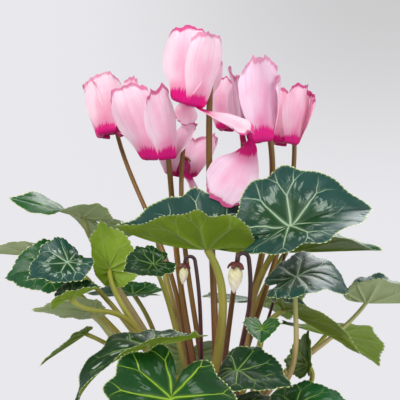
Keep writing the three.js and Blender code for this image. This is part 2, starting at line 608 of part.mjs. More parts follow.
/** Rings of points over the soil's top, a wall down to the pot's floor, and a hollow for the tuber. */
function soilShape() {
  const { sides, rings, top, inset } = SOIL;
  const inside = (z) => potRadius(z) - POT.wall - GAP - inset;
  const bottom = POT.floor + GAP;
  const points = [new THREE.Vector3(0, 0, soilHeight(0, 0))];
  const faces = [];
  for (let ring = 1; ring <= rings + 1; ring++) {
    const low = ring > rings;
    const radius = low ? inside(bottom) : (inside(top) * ring) / rings;
    for (let i = 0; i < sides; i++) {
      const place = level((360 * i) / sides).multiplyScalar(radius);
      points.push(place.setZ(low ? bottom : soilHeight(place.x, place.y)));
      const [a, b] = [1 + (ring - 1) * sides + i, 1 + (ring - 1) * sides + ((i + 1) % sides)];
      if (ring === 1) faces.push([0, a, b]);
      else faces.push([a - sides, a, b], [a - sides, b, b - sides]);
    }
  }
  const base = points.length;
  points.push(new THREE.Vector3(0, 0, bottom));
  for (let i = 0; i < sides; i++) faces.push([base, base - sides + ((i + 1) % sides), base - sides + i]);
  return solid(geometry(points, faces)).subtract(tuberBall(GAP));
}

/** The tuber, with a plain hole for the foot of each stem. */
function tuberShape(stems) {
  return stems.reduce((body, { foot, radius, sides }) => {
    const { skin, leaves } = crown(foot);
    const path = [along(skin, [leaves, -SOCKET]), along(skin, [leaves, SOCKET])];
    return body.subtract(solid(sweep(path, [radius + GAP, radius + GAP], sides)));
  }, tuberBall(0));
}

// ---------------------------------------------------------------- the plant

const root = new THREE.Group();

function add(name, body, color, roughness) {
  const shape = shapeOf(body);
  shape.computeVertexNormals();
  const mesh = new THREE.Mesh(shape, new THREE.MeshStandardMaterial({ color, roughness, metalness: 0 }));
  mesh.name = name;
  root.add(mesh);
}

const stemFoot = ({ foot, stout = 1 }, stem) => ({ foot, radius: stem.foot * stout, sides: stem.sides });
const petioleFeet = Object.values(LEAVES).map((leaf) => stemFoot(leaf, PETIOLE));
const stalkFeet = [...Object.values(BLOOMS), ...Object.values(BUDS)].map((flower) => stemFoot(flower, STALK));

add("pot", potShape(), "#24272a", 0.5);
add("soil", soilShape(), "#3a2a1e", 0.95);
add("tuber", tuberShape([...petioleFeet, ...stalkFeet]), "#5a4332", 0.85);
for (const [name, leaf] of Object.entries(LEAVES)) add(name, leafShape(leaf), "#2c5a44", 0.45);
for (const [number, bloom] of Object.entries(BLOOMS)) {
  add("bloom_" + number, bloomShape(bloom), "#e9a9c4", 0.55);
  add("stalk_" + number, stalkShape(bloom, bloomDome()), "#7a5340", 0.4);
}
for (const [number, bud] of Object.entries(BUDS)) {
  add("bud_" + number, solid(budShape(bud)), "#e6dcc0", 0.5);
  add("bud_stalk_" + number, stalkShape(bud, budDome(bud)), "#4a2226", 0.4);
}

export default root;
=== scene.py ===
"""The looks of a florist's cyclamen in its nursery pot: blades, petals, stems, buds, tuber, soil and pot."""

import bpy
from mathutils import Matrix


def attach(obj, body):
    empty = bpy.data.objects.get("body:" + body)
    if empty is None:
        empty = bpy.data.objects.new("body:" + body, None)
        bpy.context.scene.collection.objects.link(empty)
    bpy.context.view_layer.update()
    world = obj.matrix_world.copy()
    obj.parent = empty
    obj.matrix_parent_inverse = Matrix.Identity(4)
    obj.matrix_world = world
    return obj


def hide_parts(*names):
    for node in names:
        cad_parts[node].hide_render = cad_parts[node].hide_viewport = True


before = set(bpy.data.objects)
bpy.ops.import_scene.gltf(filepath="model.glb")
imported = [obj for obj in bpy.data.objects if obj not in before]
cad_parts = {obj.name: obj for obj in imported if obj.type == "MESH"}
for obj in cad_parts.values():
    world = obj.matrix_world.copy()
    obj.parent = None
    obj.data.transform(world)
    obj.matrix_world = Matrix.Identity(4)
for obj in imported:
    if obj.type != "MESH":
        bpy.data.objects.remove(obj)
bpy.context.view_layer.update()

import math

import bpy
import numpy as np
from mathutils import Vector

MM = 0.001  # the tables below are in millimetres, and a mesh is in metres

# ---------------------------------------------------------------- the plant, in millimetres

GAP = 0.3
POT = dict(foot=46, rim=66, height=112, collar=16, step=2, flare=1, wall=2, floor=3)
DRAIN = dict(holes=6, radius=5, ring=33)
SOIL = dict(top=98, lump=1.3, inset=0.6)
TUBER = dict(radius=27, half_height=15, centre=96)
SOCKET = 6
HEART = dict(flank=0.8, point=0.2, point_spread=26, shrink=0.065, notch=0.86, notch_spread=11)
BLADE = dict(thick=0.8, scallops=14, scallop=0.018, corner=0.04, corner_every=38, crease=0.06)
PETIOLE = dict(foot=2, neck=1.3)
PETAL = dict(thick=0.7, hook=1.4, bend=2.1, mouth=5, twist_over=(0.03, 0.5), lean_over=(0.12, 0.6),
             round=0.13, ruffle=1.2, ruffles=5)
PETAL_WIDTH = dict(mouth=0.17, low=0.27, high=0.56, tip=0.16)
THROAT = dict(radius=5.9, centre=3.4, wall=1.1, mouth=5.4)
CALYX = dict(thick=0.9)
STALK = dict(foot=1.7, neck=1.2, hook=5, rise=1.5, over=165)
BUD = dict(turn=60, high=0.72, full=0.8)

# Leaves. at: where the petiole joins the blade. points: the way the midrib runs. faces: the way the upper
# side looks. size: from the joint to the tip, with lobes and broad as shares of the usual length behind the
# joint and of the usual width. fold and curl: how each half rises from the midrib, and how it goes on
# bending, in degrees (left half, right half). bend: how the midrib arches towards the tip and towards the
# lobes. twist: how far the blade turns round its midrib by the tip. wave: height, number and phase of the
# ripples. foot: bearing and distance on the crown. joint: how far the petiole's last stretch rises and runs
# along the midrib. sway: how far the petiole's middle is pushed aside. stout: its thickness as a share of the
# usual.
LEAVES = {
    # top layer
    "leaf_01": dict(at=[44, -22, 230.7], points=[0.93, 0.12, 0.36], faces=[0, -0.76, 0.65], size=51,
        fold=[22, 30], bend=[30, 0], foot=[-15, 12], sway=[-6, 8, 0], stout=1.3),
    "leaf_02": dict(at=[-5, -14, 217], points=[-1, -0.05, 0.02], faces=[0, -0.31, 0.95], size=54,
        fold=[54, 52], bend=[-25, 40], foot=[-107, 5.9], lobes=0.78, stout=1.6),
    "leaf_03": dict(at=[46.6, 80, 212.7], points=[1, 0, 0.02], faces=[0, 0.05, 1], size=58, fold=[25, 14],
        foot=[55, 14], lobes=0.75, stout=1.4),
    "leaf_04": dict(at=[-79, -10, 236], points=[-0.95, -0.05, 0.25], faces=[0, 0.02, 1], size=42,
        fold=[15, -10], bend=[0, 30], twist=-50, foot=[172, 13.2], lobes=0.6, stout=1.2),
    # middle layer, right
    "leaf_05": dict(at=[48, -22, 200.7], points=[0.88, -0.1, 0.36], faces=[-0.45, -0.35, 0.82], size=38,
        fold=[5, 0], bend=[90, 0], foot=[-24, 17], sway=[10, -8, -10], lobes=0.8),
    "leaf_06": dict(at=[42.4, 5, 180], points=[0.85, -0.1, -0.5], faces=[0.45, -0.31, 0.88], size=50,
        fold=[8, 32], bend=[0, 30], twist=-35, foot=[-8, 17], lobes=0.3, broad=0.7, stout=1.2),
    "leaf_07": dict(at=[95, 46, 182], points=[1, -0.1, 0], faces=[0, -0.3, 0.95], size=44,
        fold=[14, 48], foot=[24, 19], lobes=0.5),
    "leaf_08": dict(at=[55, -14, 148], points=[0.02, 0.3, 0.95], faces=[-0.75, -0.6, 0.2], size=20,
        fold=[35, 35], foot=[-8, 23], lobes=0.6),
    # low, front right
    "leaf_09": dict(at=[46, -38, 127], points=[0.93, -0.2, 0.25], faces=[-0.2, -0.55, 0.8], size=34,
        fold=[0, 15], bend=[40, 0], foot=[-36, 23.5], broad=0.85),
    "leaf_10": dict(at=[12, -58, 149], points=[0.93, -0.3, -0.1], faces=[0.1, -0.55, 0.83], size=31,
        fold=[8, 8], bend=[20, 80], foot=[-80, 19]),
    "leaf_11": dict(at=[8, -52, 128], points=[0.45, -0.75, -0.35], faces=[0, -0.4, 0.9], size=32,
        fold=[8, 8], foot=[-58, 22.5], lobes=0.4),
    "leaf_12": dict(at=[26.5, -46, 171.5], points=[-0.05, -0.85, -0.35], faces=[0, -0.35, 0.95], size=17,
        fold=[28, 28], foot=[-57, 16]),
    # low, front left
    "leaf_13": dict(at=[-25, -98, 137], points=[-0.2, -0.7, -0.65], faces=[0.1, -0.8, 0.6], size=53,
        fold=[0, 12], foot=[-106, 19]),
    "leaf_14": dict(at=[-37, -62, 163], points=[-0.9, -0.35, -0.12], faces=[-0.1, -0.32, 0.93], size=56,
        fold=[30, -4], bend=[62, 0], foot=[-124, 17], lobes=0.85, broad=0.85),
    "leaf_15": dict(at=[-76, -30, 168], points=[-0.8, -0.1, -0.55], faces=[-0.5, -0.1, 0.85], size=30,
        fold=[20, 0], foot=[-168, 22.5], lobes=0.3, broad=0.75),
    "leaf_16": dict(at=[-72, -24, 181], points=[-1, 0, 0.02], faces=[0, 0.5, 0.86], size=34, fold=[6, 4],
        foot=[-156, 21.5], lobes=0.35, broad=0.6, stout=1.3),
    # left
    "leaf_17": dict(at=[-95, -14, 205], points=[-0.95, -0.2, 0.02], faces=[-0.25, -0.75, 0.6], size=29,
        fold=[10, 10], bend=[35, 0], foot=[-172, 17]),
    "leaf_18": dict(at=[-85, -44, 210], points=[-0.75, -0.5, -0.4], faces=[0, -0.6, 0.8], size=27,
        fold=[12, 12], bend=[0, 20], wave=[3, 3, 60], foot=[-152, 17], lobes=0.7),
    "leaf_19": dict(at=[-83, -54, 190], points=[0.9, -0.2, 0.35], faces=[0, -0.3, 0.95], size=18,
        fold=[35, 35], bend=[0, 30], foot=[-141, 21], joint=[0.8, -0.3], sway=[-2, 4, 21]),
    "leaf_20": dict(at=[-62, -22, 205], points=[-0.2, 0.1, 0.97], faces=[0.1, 0.98, 0], size=28,
        fold=[-5, -40], curl=[0, -70], bend=[0, 60], foot=[-162, 13], lobes=0.8, stout=1.1),
    "leaf_21": dict(at=[-36, -42, 209], points=[-0.7, -0.5, -0.15], faces=[-0.1, -0.75, 0.65], size=20,
        fold=[12, 12], foot=[-140, 12]),
    "leaf_22": dict(at=[-50, 30, 188], points=[-0.95, 0.15, 0], faces=[0, -0.2, 0.97], size=28,
        fold=[10, 10], foot=[150, 20]),
    "leaf_23": dict(at=[-106, 22, 212], points=[-1, 0.1, 0.05], faces=[0, 0.2, 1], size=36,
        fold=[10, 10], foot=[165, 17]),
    # back
    "leaf_24": dict(at=[-36, 74, 222], points=[-0.5, 0.8, 0.2], faces=[-0.15, 0.35, 0.92], size=50,
        fold=[16, 16], bend=[30, 0], foot=[121, 13.5], lobes=0.7, stout=1.3),
    "leaf_25": dict(at=[26, 98, 180], points=[0.45, 0.88, 0.05], faces=[0.1, 0.45, 0.88], size=52,
        fold=[14, 14], bend=[35, 0], foot=[71, 18], lobes=0.7),
    "leaf_26": dict(at=[72, 76, 160], points=[0.8, 0.55, -0.2], faces=[0.35, 0.3, 0.88], size=46,
        fold=[12, 12], bend=[30, 0], foot=[44, 21]),
    "leaf_27": dict(at=[-16, 76, 146], points=[-0.1, 0.9, -0.35], faces=[0, 0.5, 0.86], size=46,
        fold=[12, 12], bend=[25, 0], foot=[98, 21], broad=0.85),
}

# Blooms. at: the centre of the mouth, which looks down. axis: from the mouth to the calyx. petals: bearing
# round the axis, rise of the petal after its turn, how it goes on bending, sideways lean, twist (degrees),
# length, width and cup. hook: the bearing that the stalk's hook leaves by. foot: where the stalk stands on
# the crown.
BLOOMS = {
    1: dict(at=[-15, -12, 304.5], axis=[0.27, -0.1, 0.96], hook=26, foot=[60, 1], sway=[0, 14, 0],
        stout=1.3,
        petals=[
            [-134, 84, 14, -22, 15, 53, 33, 30],
            [-66, 84, 10, -3, 17, 51, 28, 30],
            [-28, -12, 10, -6, 12, 44, 22, 30],
            [66, 62, 16, 8, 20, 40, 20, 30],
            [98, -60, -10, -10, 20, 18, 15, 30],
        ]),
    2: dict(at=[-33.3, 0, 272.6], axis=[-0.05, -0.1, 1], hook=68, foot=[190, 6], sway=[-3, 8, 0],
        stout=1.2,
        petals=[
            [-130, 70, 14, -16, 16, 54, 32, 30],
            [-60, 76, 12, -14, 16, 51, 27, 30],
            [14, 50, 12, -4, 20, 31, 20, 30],
            [114, 68, 15, 8, 20, 48, 22, 30],
            [170, 66, 15, 0, 20, 48, 25, 30],
        ]),
    3: dict(at=[-63.7, 40, 288], axis=[-0.1, 0.2, 0.97], hook=80, foot=[155, 9.5], sway=[10, -8, 0],
        petals=[
            [-110, 88, 6, 2, 12, 45, 26, 30],
            [-30, -10, -30, 0, 30, 28, 22, 30],
            [32, 74, 12, -12, 20, 44, 18, 30],
            [128, 74, 12, 12, 20, 44, 18, 30],
            [188, 80, 12, 0, 20, 42, 22, 30],
        ]),
    4: dict(at=[25.5, 4, 282.5], axis=[-0.1, 0, 0.99], hook=48, foot=[-8, 7], sway=[-3, 10, 0],
        stout=1.3,
        petals=[
            [-68, 78, 12, 2, 15, 57, 31, 30],
            [-144, -60, 8, -16, -40, 45, 33, 20],
            [0, 74, 12, -8, 20, 46, 20, 30],
            [96, 74, 12, 8, 20, 50, 20, 30],
            [156, 80, 10, 0, 20, 54, 24, 30],
        ]),
    5: dict(at=[42.6, 34, 282.5], axis=[0.08, 0.1, 1], hook=54, foot=[31, 8.7],
        petals=[
            [-127, 76, 15, 0, 15, 40, 24, 30],
            [-55, 74, 10, 0, 15, 43, 26, 30],
            [6, 72, 12, -12, 20, 40, 19, 30],
            [102, 72, 12, 12, 20, 40, 19, 30],
            [166, 72, 15, 0, 20, 40, 24, 30],
        ]),
    6: dict(at=[-21, 27, 263], axis=[0.1, 0.1, 1], hook=-88, hook_radius=6.5, foot=[120, 7],
        petals=[
            [-136, 74, 10, -6, 15, 29, 17, 30],
            [-40, -62, 8, 0, -20, 25, 22, 20],
            [22, 64, 12, 0, 20, 36, 22, 30],
            [90, 72, 15, 0, 20, 34, 22, 30],
            [158, 72, 15, 0, 20, 32, 22, 30],
        ]),
    7: dict(at=[11, 47, 292], axis=[0, 0.1, 1], hook=60, foot=[72, 8],
        petals=[
            [-130, 76, 15, 0, 15, 38, 22, 30],
            [-58, 76, 15, 0, 15, 38, 22, 30],
            [12, 74, 12, -12, 20, 38, 18, 30],
            [108, 74, 12, 12, 20, 38, 18, 30],
            [168, 74, 15, 0, 20, 38, 22, 30],
        ]),
}

# Furled buds. at: the top of the bud, under its calyx. axis: from the tip of the bud to its calyx.
BUDS = {
    1: dict(at=[12, -46, 209], axis=[0.1, 0, 1], hook=30, hook_radius=4, length=17, radius=4.2,
        stout=0.9, foot=[-58, 9.4]),
    2: dict(at=[-18, -42, 208], axis=[0.1, 0, 1], hook=-10, hook_radius=3, length=11, radius=2.6,
        stout=0.8, foot=[-118, 10.7]),
    3: dict(at=[35.7, 38, 256], axis=[0.2, 0, 1], hook=0, hook_radius=5, length=7, radius=1.8,
        stout=0.6, foot=[36, 13.6]),
}

# How each leaf is coloured: its upper side, its under side, and how much silver marks it (0 to 1).
LEAF_LOOKS = {
    "leaf_01": ("teal", "olive", 0.75), "leaf_02": ("teal", "lime", 0.8),
    "leaf_03": ("green", "olive", 0.3), "leaf_04": ("fresh", "pale", 0.5),
    "leaf_05": ("teal", "pale", 0.7), "leaf_06": ("dark", "moss", 0.5),
    "leaf_07": ("teal", "pale", 0.3), "leaf_08": ("moss", "olive", 0.2),
    "leaf_09": ("green", "olive", 0.4), "leaf_10": ("dark", "olive", 0.25),
    "leaf_11": ("dark", "olive", 0.2), "leaf_12": ("fresh", "lime", 0.3),
    "leaf_13": ("deep", "lime", 0.3), "leaf_14": ("dark", "lime", 1.0),
    "leaf_15": ("moss", "olive", 0.2), "leaf_16": ("dark", "pale", 0.3),
    "leaf_17": ("green", "lime", 0.35), "leaf_18": ("teal", "lime", 1.0),
    "leaf_19": ("dark", "lime", 0.4), "leaf_20": ("teal", "lime", 0.5),
    "leaf_21": ("dark", "lime", 0.4), "leaf_22": ("green", "olive", 0.2),
    "leaf_23": ("green", "pale", 0.4), "leaf_24": ("teal", "olive", 0.8),
    "leaf_25": ("green", "olive", 0.6), "leaf_26": ("dark", "lime", 0.5),
    "leaf_27": ("green", "olive", 0.6),
}


def paint(red, green, blue):
    """A screen colour, 0 to 255, as the linear colour that a shader takes."""
    shares = np.array([red, green, blue]) / 255
    linear = np.where(shares <= 0.04045, shares / 12.92, ((shares + 0.055) / 1.055) ** 2.4)
    return (*map(float, linear), 1.0)


# inner and outer colour of a blade's upper side, and the colour of its veins
# the outer colour is partly the blade's own tone and partly a painted reflection: a bluish sheen, strongest
# in the teal blades
UPPER = {
    "teal": (paint(12, 62, 20), paint(22, 70, 60), paint(176, 204, 166)),
    "dark": (paint(4, 46, 10), paint(8, 52, 20), paint(126, 160, 76)),
    "green": (paint(10, 78, 12), paint(18, 82, 36), paint(146, 180, 90)),
    "fresh": (paint(10, 84, 10), paint(20, 84, 24), paint(150, 190, 44)),
    "deep": (paint(6, 66, 6), paint(10, 62, 14), paint(150, 190, 50)),
    "moss": (paint(56, 84, 6), paint(66, 92, 12), paint(136, 156, 56)),
}
UNDER = {"olive": paint(94, 122, 8), "lime": paint(140, 172, 36), "moss": paint(128, 150, 48),
         "pale": paint(178, 194, 138)}


# ---------------------------------------------------------------- small helpers

def unit(v):
    """The vector or vectors, one long."""
    return v / np.linalg.norm(v, axis=-1, keepdims=True)


def level(bearing):
    """The level direction at a bearing: its cosine and sine, with no rise."""
    return np.array([math.cos(math.radians(bearing)), math.sin(math.radians(bearing)), 0.0])


def smoothstep(x, low, high):
    """0 under low, 1 over high, and an S curve between them."""
    t = np.clip((x - low) / (high - low), 0, 1)
    return t * t * (3 - 2 * t)


def arc(k, x):
    """Run and rise of a line of length x that bends with curvature k."""
    a = np.asarray(k * x, float)
    half = np.sinc(a / (2 * np.pi))
    return x * np.sinc(a / np.pi), x * (a / 2) * half * half


def seeded(name):
    """A random source that is the same in each run for a piece of that name."""
    return np.random.default_rng(sum((i + 1) * ord(c) for i, c in enumerate(name)))


def ripple(t, rng, waves, falling=0.5):
    """A smooth random line: a sum of sines of t, each higher one weaker by falling."""
    total = np.zeros_like(t)
    for i, count in enumerate(waves):
        total += falling ** i * np.sin(count * t + rng.uniform(0, 2 * np.pi))
    return total


def lattice_noise(x, y, seed):
    """Smooth noise from 0 to 1, one feature for each unit of x and y: corner values, blended by S curves."""
    repeat = 64
    corner = np.random.default_rng(seed).random((repeat, repeat))
    i, j = np.floor(x).astype(int), np.floor(y).astype(int)
    u, v = smoothstep(x - i, 0, 1), smoothstep(y - j, 0, 1)
    a, b = corner[i % repeat, j % repeat], corner[(i + 1) % repeat, j % repeat]
    c, d = corner[i % repeat, (j + 1) % repeat], corner[(i + 1) % repeat, (j + 1) % repeat]
    return (a * (1 - u) + b * u) * (1 - v) + (c * (1 - u) + d * u) * v


# ---------------------------------------------------------------- meshes

def mesh_piece(name, points, faces, finishes, stands_for=(), uv=None, face_finish=None, values=None,
               crease=None):
    """A piece from points in millimetres and lists of faces.

    uv has a pair for each point. values has, for each name, a number for each point or one colour for all.
    """
    mesh = bpy.data.meshes.new(name)
    mesh.from_pydata((np.asarray(points, float) * MM).tolist(), [], [list(map(int, f)) for f in faces])
    corners = np.empty(len(mesh.loops), int)
    mesh.loops.foreach_get("vertex_index", corners)
    if uv is not None:
        layer = mesh.uv_layers.new(name="Flat")
        layer.data.foreach_set("uv", np.asarray(uv, np.float32)[corners].ravel())
    for key, value in (values or {}).items():
        value = np.asarray(value, np.float32)
        if len(value) == len(points):
            mesh.attributes.new(key, "FLOAT", "POINT").data.foreach_set("value", value)
        else:
            colours = np.tile(value, len(points))
            mesh.attributes.new(key, "FLOAT_COLOR", "POINT").data.foreach_set("color", colours)
    mesh.polygons.foreach_set("use_smooth", np.ones(len(mesh.polygons), bool))
    for finish in finishes:
        mesh.materials.append(finish)
    if face_finish is not None:
        mesh.polygons.foreach_set("material_index", np.asarray(face_finish, np.int32))
    if crease is not None:
        mesh.set_sharp_from_angle(angle=math.radians(crease))
    mesh.validate()
    mesh.update()
    piece = bpy.data.objects.new(name, mesh)
    bpy.context.scene.collection.objects.link(piece)
    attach(piece, "root")
    if stands_for:
        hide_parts(*stands_for)
    return piece


def grid_faces(rows, columns, start=0, wrap=False, flip=False):
    """Four-sided faces between the rows of a grid of points; wrap joins the last column to the first."""
    i, j = np.meshgrid(np.arange(rows - 1), np.arange(columns if wrap else columns - 1), indexing="ij")
    i, j = i.ravel(), j.ravel()
    k = (j + 1) % columns
    here, after = i * columns, (i + 1) * columns
    faces = np.stack([here + j, after + j, after + k, here + k], 1) + start
    return (faces[:, ::-1] if flip else faces).tolist()


def fan_faces(hub, count, flip=False):
    """Three-sided faces between a hub point and the closed ring of count points that follows it."""
    fan = [[hub, hub + 1 + j, hub + 1 + (j + 1) % count] for j in range(count)]
    return [face[::-1] for face in fan] if flip else fan


def band(first, second):
    """Four-sided faces between two closed loops of point numbers."""
    return [[a, b, c, d] for a, b, c, d in zip(first, np.roll(first, -1), np.roll(second, -1), second)]


def tube(path, radii, sides, section):
    """Rings of points round a path, with frames carried along it without twist.

    section gives the radius, as a share of radii, for each turn round the path.
    """
    path = np.asarray(path, float)
    tangents = unit(np.gradient(path, axis=0))
    across = np.empty_like(path)
    side = np.array([1.0, 0, 0]) if abs(tangents[0, 0]) < 0.8 else np.array([0, 1.0, 0])
    for i, tangent in enumerate(tangents):
        side = unit(side - tangent * side.dot(tangent))
        across[i] = side
    other = np.cross(tangents, across)
    turn = 2 * np.pi * np.arange(sides) / sides
    radius = np.asarray(radii, float)[:, None] * section(turn)
    ring = across[:, None] * np.cos(turn)[None, :, None] + other[:, None] * np.sin(turn)[None, :, None]
    return path[:, None] + radius[:, :, None] * ring


def tube_mesh(rings):
    """Points, faces and (round, along) coordinates of a tube closed at both ends by a point."""
    count, sides = rings.shape[:2]
    points = np.concatenate([rings.reshape(-1, 3), rings[0].mean(0)[None], rings[-1].mean(0)[None]])
    faces = grid_faces(count, sides, wrap=True, flip=True)
    low, high = count * sides, count * sides + 1
    last = (count - 1) * sides
    for j in range(sides):
        k = (j + 1) % sides
        faces += [[low, k, j], [high, last + j, last + k]]
    lengths = np.linalg.norm(np.diff(rings.mean(1), axis=0), axis=1)
    gone = np.concatenate([[0], np.cumsum(lengths)]) / lengths.sum()
    u = np.abs(2 * np.arange(sides) / sides - 1)
    uv = np.stack(np.broadcast_arrays(u[None, :], gone[:, None]), -1).reshape(-1, 2)
    return points, faces, np.concatenate([uv, [[0.5, 0]], [[0.5, 1]]])


# ---------------------------------------------------------------- finishes

class Value:
    """A number or colour that changes over a surface; sums and products of it add Math nodes."""

    def __init__(self, finish, socket):
        self.finish, self.socket = finish, socket

    def math(self, operation, *others):
        """One Math node, with this value first."""
        return self.finish.node("Math", {"operation": operation}, dict(enumerate([self, *others])))

    def __add__(self, other):
        return self.math("ADD", other)

    def __sub__(self, other):
        return self.math("SUBTRACT", other)

    def __rsub__(self, other):
        return self.finish.node("Math", {"operation": "SUBTRACT"}, {0: other, 1: self})

    def __mul__(self, other):
        return self.math("MULTIPLY", other)

    def __truediv__(self, other):
        return self.math("DIVIDE", other)

    def __pow__(self, other):
        return self.math("POWER", other)

    def __abs__(self):
        return self.math("ABSOLUTE")

    __radd__, __rmul__ = __add__, __mul__

    def over(self, low, high):
        """0 under low, 1 over high, and an S curve between them."""
        return self.finish.node("MapRange", {"interpolation_type": "SMOOTHSTEP"},
                                {"Value": self, "From Min": low, "From Max": high})

    def under(self, low, high):
        """1 under low, 0 over high, and an S curve between them."""
        return 1 - self.over(low, high)


class Finish:
    """A material in the making."""

    def __init__(self, name):
        self.material = bpy.data.materials.new(name)
        self.material.use_nodes = True
        self.tree = self.material.node_tree
        self.tree.nodes.clear()

    def node(self, kind, settings=None, inputs=None, output=0):
        """A node of a kind with its settings, then the numbers, colours or links of its inputs."""
        made = self.tree.nodes.new("ShaderNode" + kind)
        for key, value in (settings or {}).items():
            setattr(made, key, value)
        for key, value in (inputs or {}).items():
            if isinstance(value, Value):
                self.tree.links.new(value.socket, made.inputs[key])
            else:
                made.inputs[key].default_value = value
        return Value(self, made.outputs[output]) if len(made.outputs) else None

    def mix(self, share, first, second, blend="MIX"):
        """first where share is 0, and second where it is 1."""
        return self.node("Mix", {"data_type": "RGBA", "blend_type": blend, "clamp_factor": True},
                         {0: share, 6: first, 7: second}, 2)

    def value(self, name):
        """The number of that name that the mesh holds for each point."""
        return self.node("Attribute", {"attribute_name": name}, output="Fac")

    def colour(self, name):
        """The colour of that name that the mesh holds for each point."""
        return self.node("Attribute", {"attribute_name": name}, output="Color")

    def flat(self):
        """The two numbers of the piece's own map."""
        place = self.node("UVMap", {"uv_map": "Flat"})
        return self.split(place)[:2]

    def split(self, vector):
        """The three parts of a vector."""
        parts = self.node("SeparateXYZ", inputs={0: vector})
        return [Value(self, socket) for socket in parts.socket.node.outputs]

    def join(self, x=0.0, y=0.0, z=0.0):
        """The vector of three numbers."""
        return self.node("CombineXYZ", inputs={0: x, 1: y, 2: z})

    def place(self):
        """The place on the object, in metres."""
        return self.node("TexCoord", output="Object")

    def stretched(self, place, scale, rotation=(0.0, 0.0, 0.0)):
        """The place turned and scaled, for a pattern that runs one way."""
        return self.node("Mapping", inputs={"Vector": place, "Rotation": rotation, "Scale": scale})

    def noise(self, place, scale, detail=2.0, rough=0.5):
        """Cloudy noise from 0 to 1."""
        return self.node("TexNoise", {"noise_dimensions": "3D"},
                         {"Vector": place, "Scale": scale, "Detail": detail, "Roughness": rough})

    def cells(self, place, scale, feature="F1"):
        """Pebbles: the distance to the nearest of many scattered points, or to the line between two."""
        return self.node("TexVoronoi", {"feature": feature},
                         {"Vector": place, "Scale": scale, "Randomness": 1.0})

    def bump(self, height, distance, strength):
        """The normal that a height of 0 to 1 gives, with distance in metres."""
        return self.node("Bump", inputs={"Height": height, "Distance": distance, "Strength": strength})

    def surface(self, thin=None, thin_colour=None, **sockets):
        """A Principled surface; thin is the share of light that passes through, tinted by thin_colour."""
        named = {}
        for key, value in sockets.items():
            named[key.replace("_", " ").title().replace("Ior", "IOR")] = value
        shader = self.node("BsdfPrincipled", inputs=named)
        if thin is not None:
            glow = self.node("BsdfTranslucent", inputs={"Color": thin_colour, "Normal": sockets["normal"]})
            shader = self.node("MixShader", inputs={0: thin, 1: shader, 2: glow})
        self.node("OutputMaterial", inputs={"Surface": shader})
        return self.material


VEIN_EVERY = BLADE["corner_every"]  # degrees between the main veins, which run to the corners of the outline
FLAT_SCALE = 0.45  # a blade's own map is its flat heart, this many times its size, round (0.5, 0.5)
BEAD_OVER = (0.45, 0.85)  # how far up a tooth its bright tip begins and is full


def blade_lines(f):
    """Places on the flat blade and how strongly a vein runs there.

    The main veins leave the joint every VEIN_EVERY degrees. Past a first distance each one forks, and past a
    second each branch forks again: a fork is the absolute value of the distance beside the vein, less a
    spread that grows with the distance from the joint.
    """
    u, v = f.flat()
    seed = f.value("seed")
    x, y = (u - 0.5) / FLAT_SCALE, (v - 0.5) / FLAT_SCALE
    here = f.join(x, y, seed)
    wander = f.noise(here, 3.2, 2.0) - 0.5
    radius = (x * x + y * y) ** 0.5
    bent = y + wander * radius * 0.34
    degrees = f.node("Math", {"operation": "ARCTAN2"}, {0: bent, 1: x}) * (180 / math.pi)
    sector = (degrees / VEIN_EVERY).math("ROUND")
    beside = abs(degrees - sector * VEIN_EVERY) * (math.pi / 180) * radius
    luck = f.node("TexWhiteNoise", {"noise_dimensions": "2D"}, {"Vector": f.join(sector, seed)})
    first = 0.4 + luck * 0.22
    second = first + 0.16 + luck * 0.08
    beside = abs(beside - (radius - first).math("MAXIMUM", 0.0) * (0.5 + luck * 0.25))
    beside = abs(beside - (radius - second).math("MAXIMUM", 0.0) * 0.42)
    return here, radius, degrees / VEIN_EVERY, beside, luck


def vein_line(radius, beside, width, reach):
    """1 on a vein whose half-width falls with the distance from the joint, and 0 beside it."""
    half = width * (1 - radius * 0.72)
    return (beside / half).under(0.35, 1.15) * radius.under(reach, reach + 0.2)


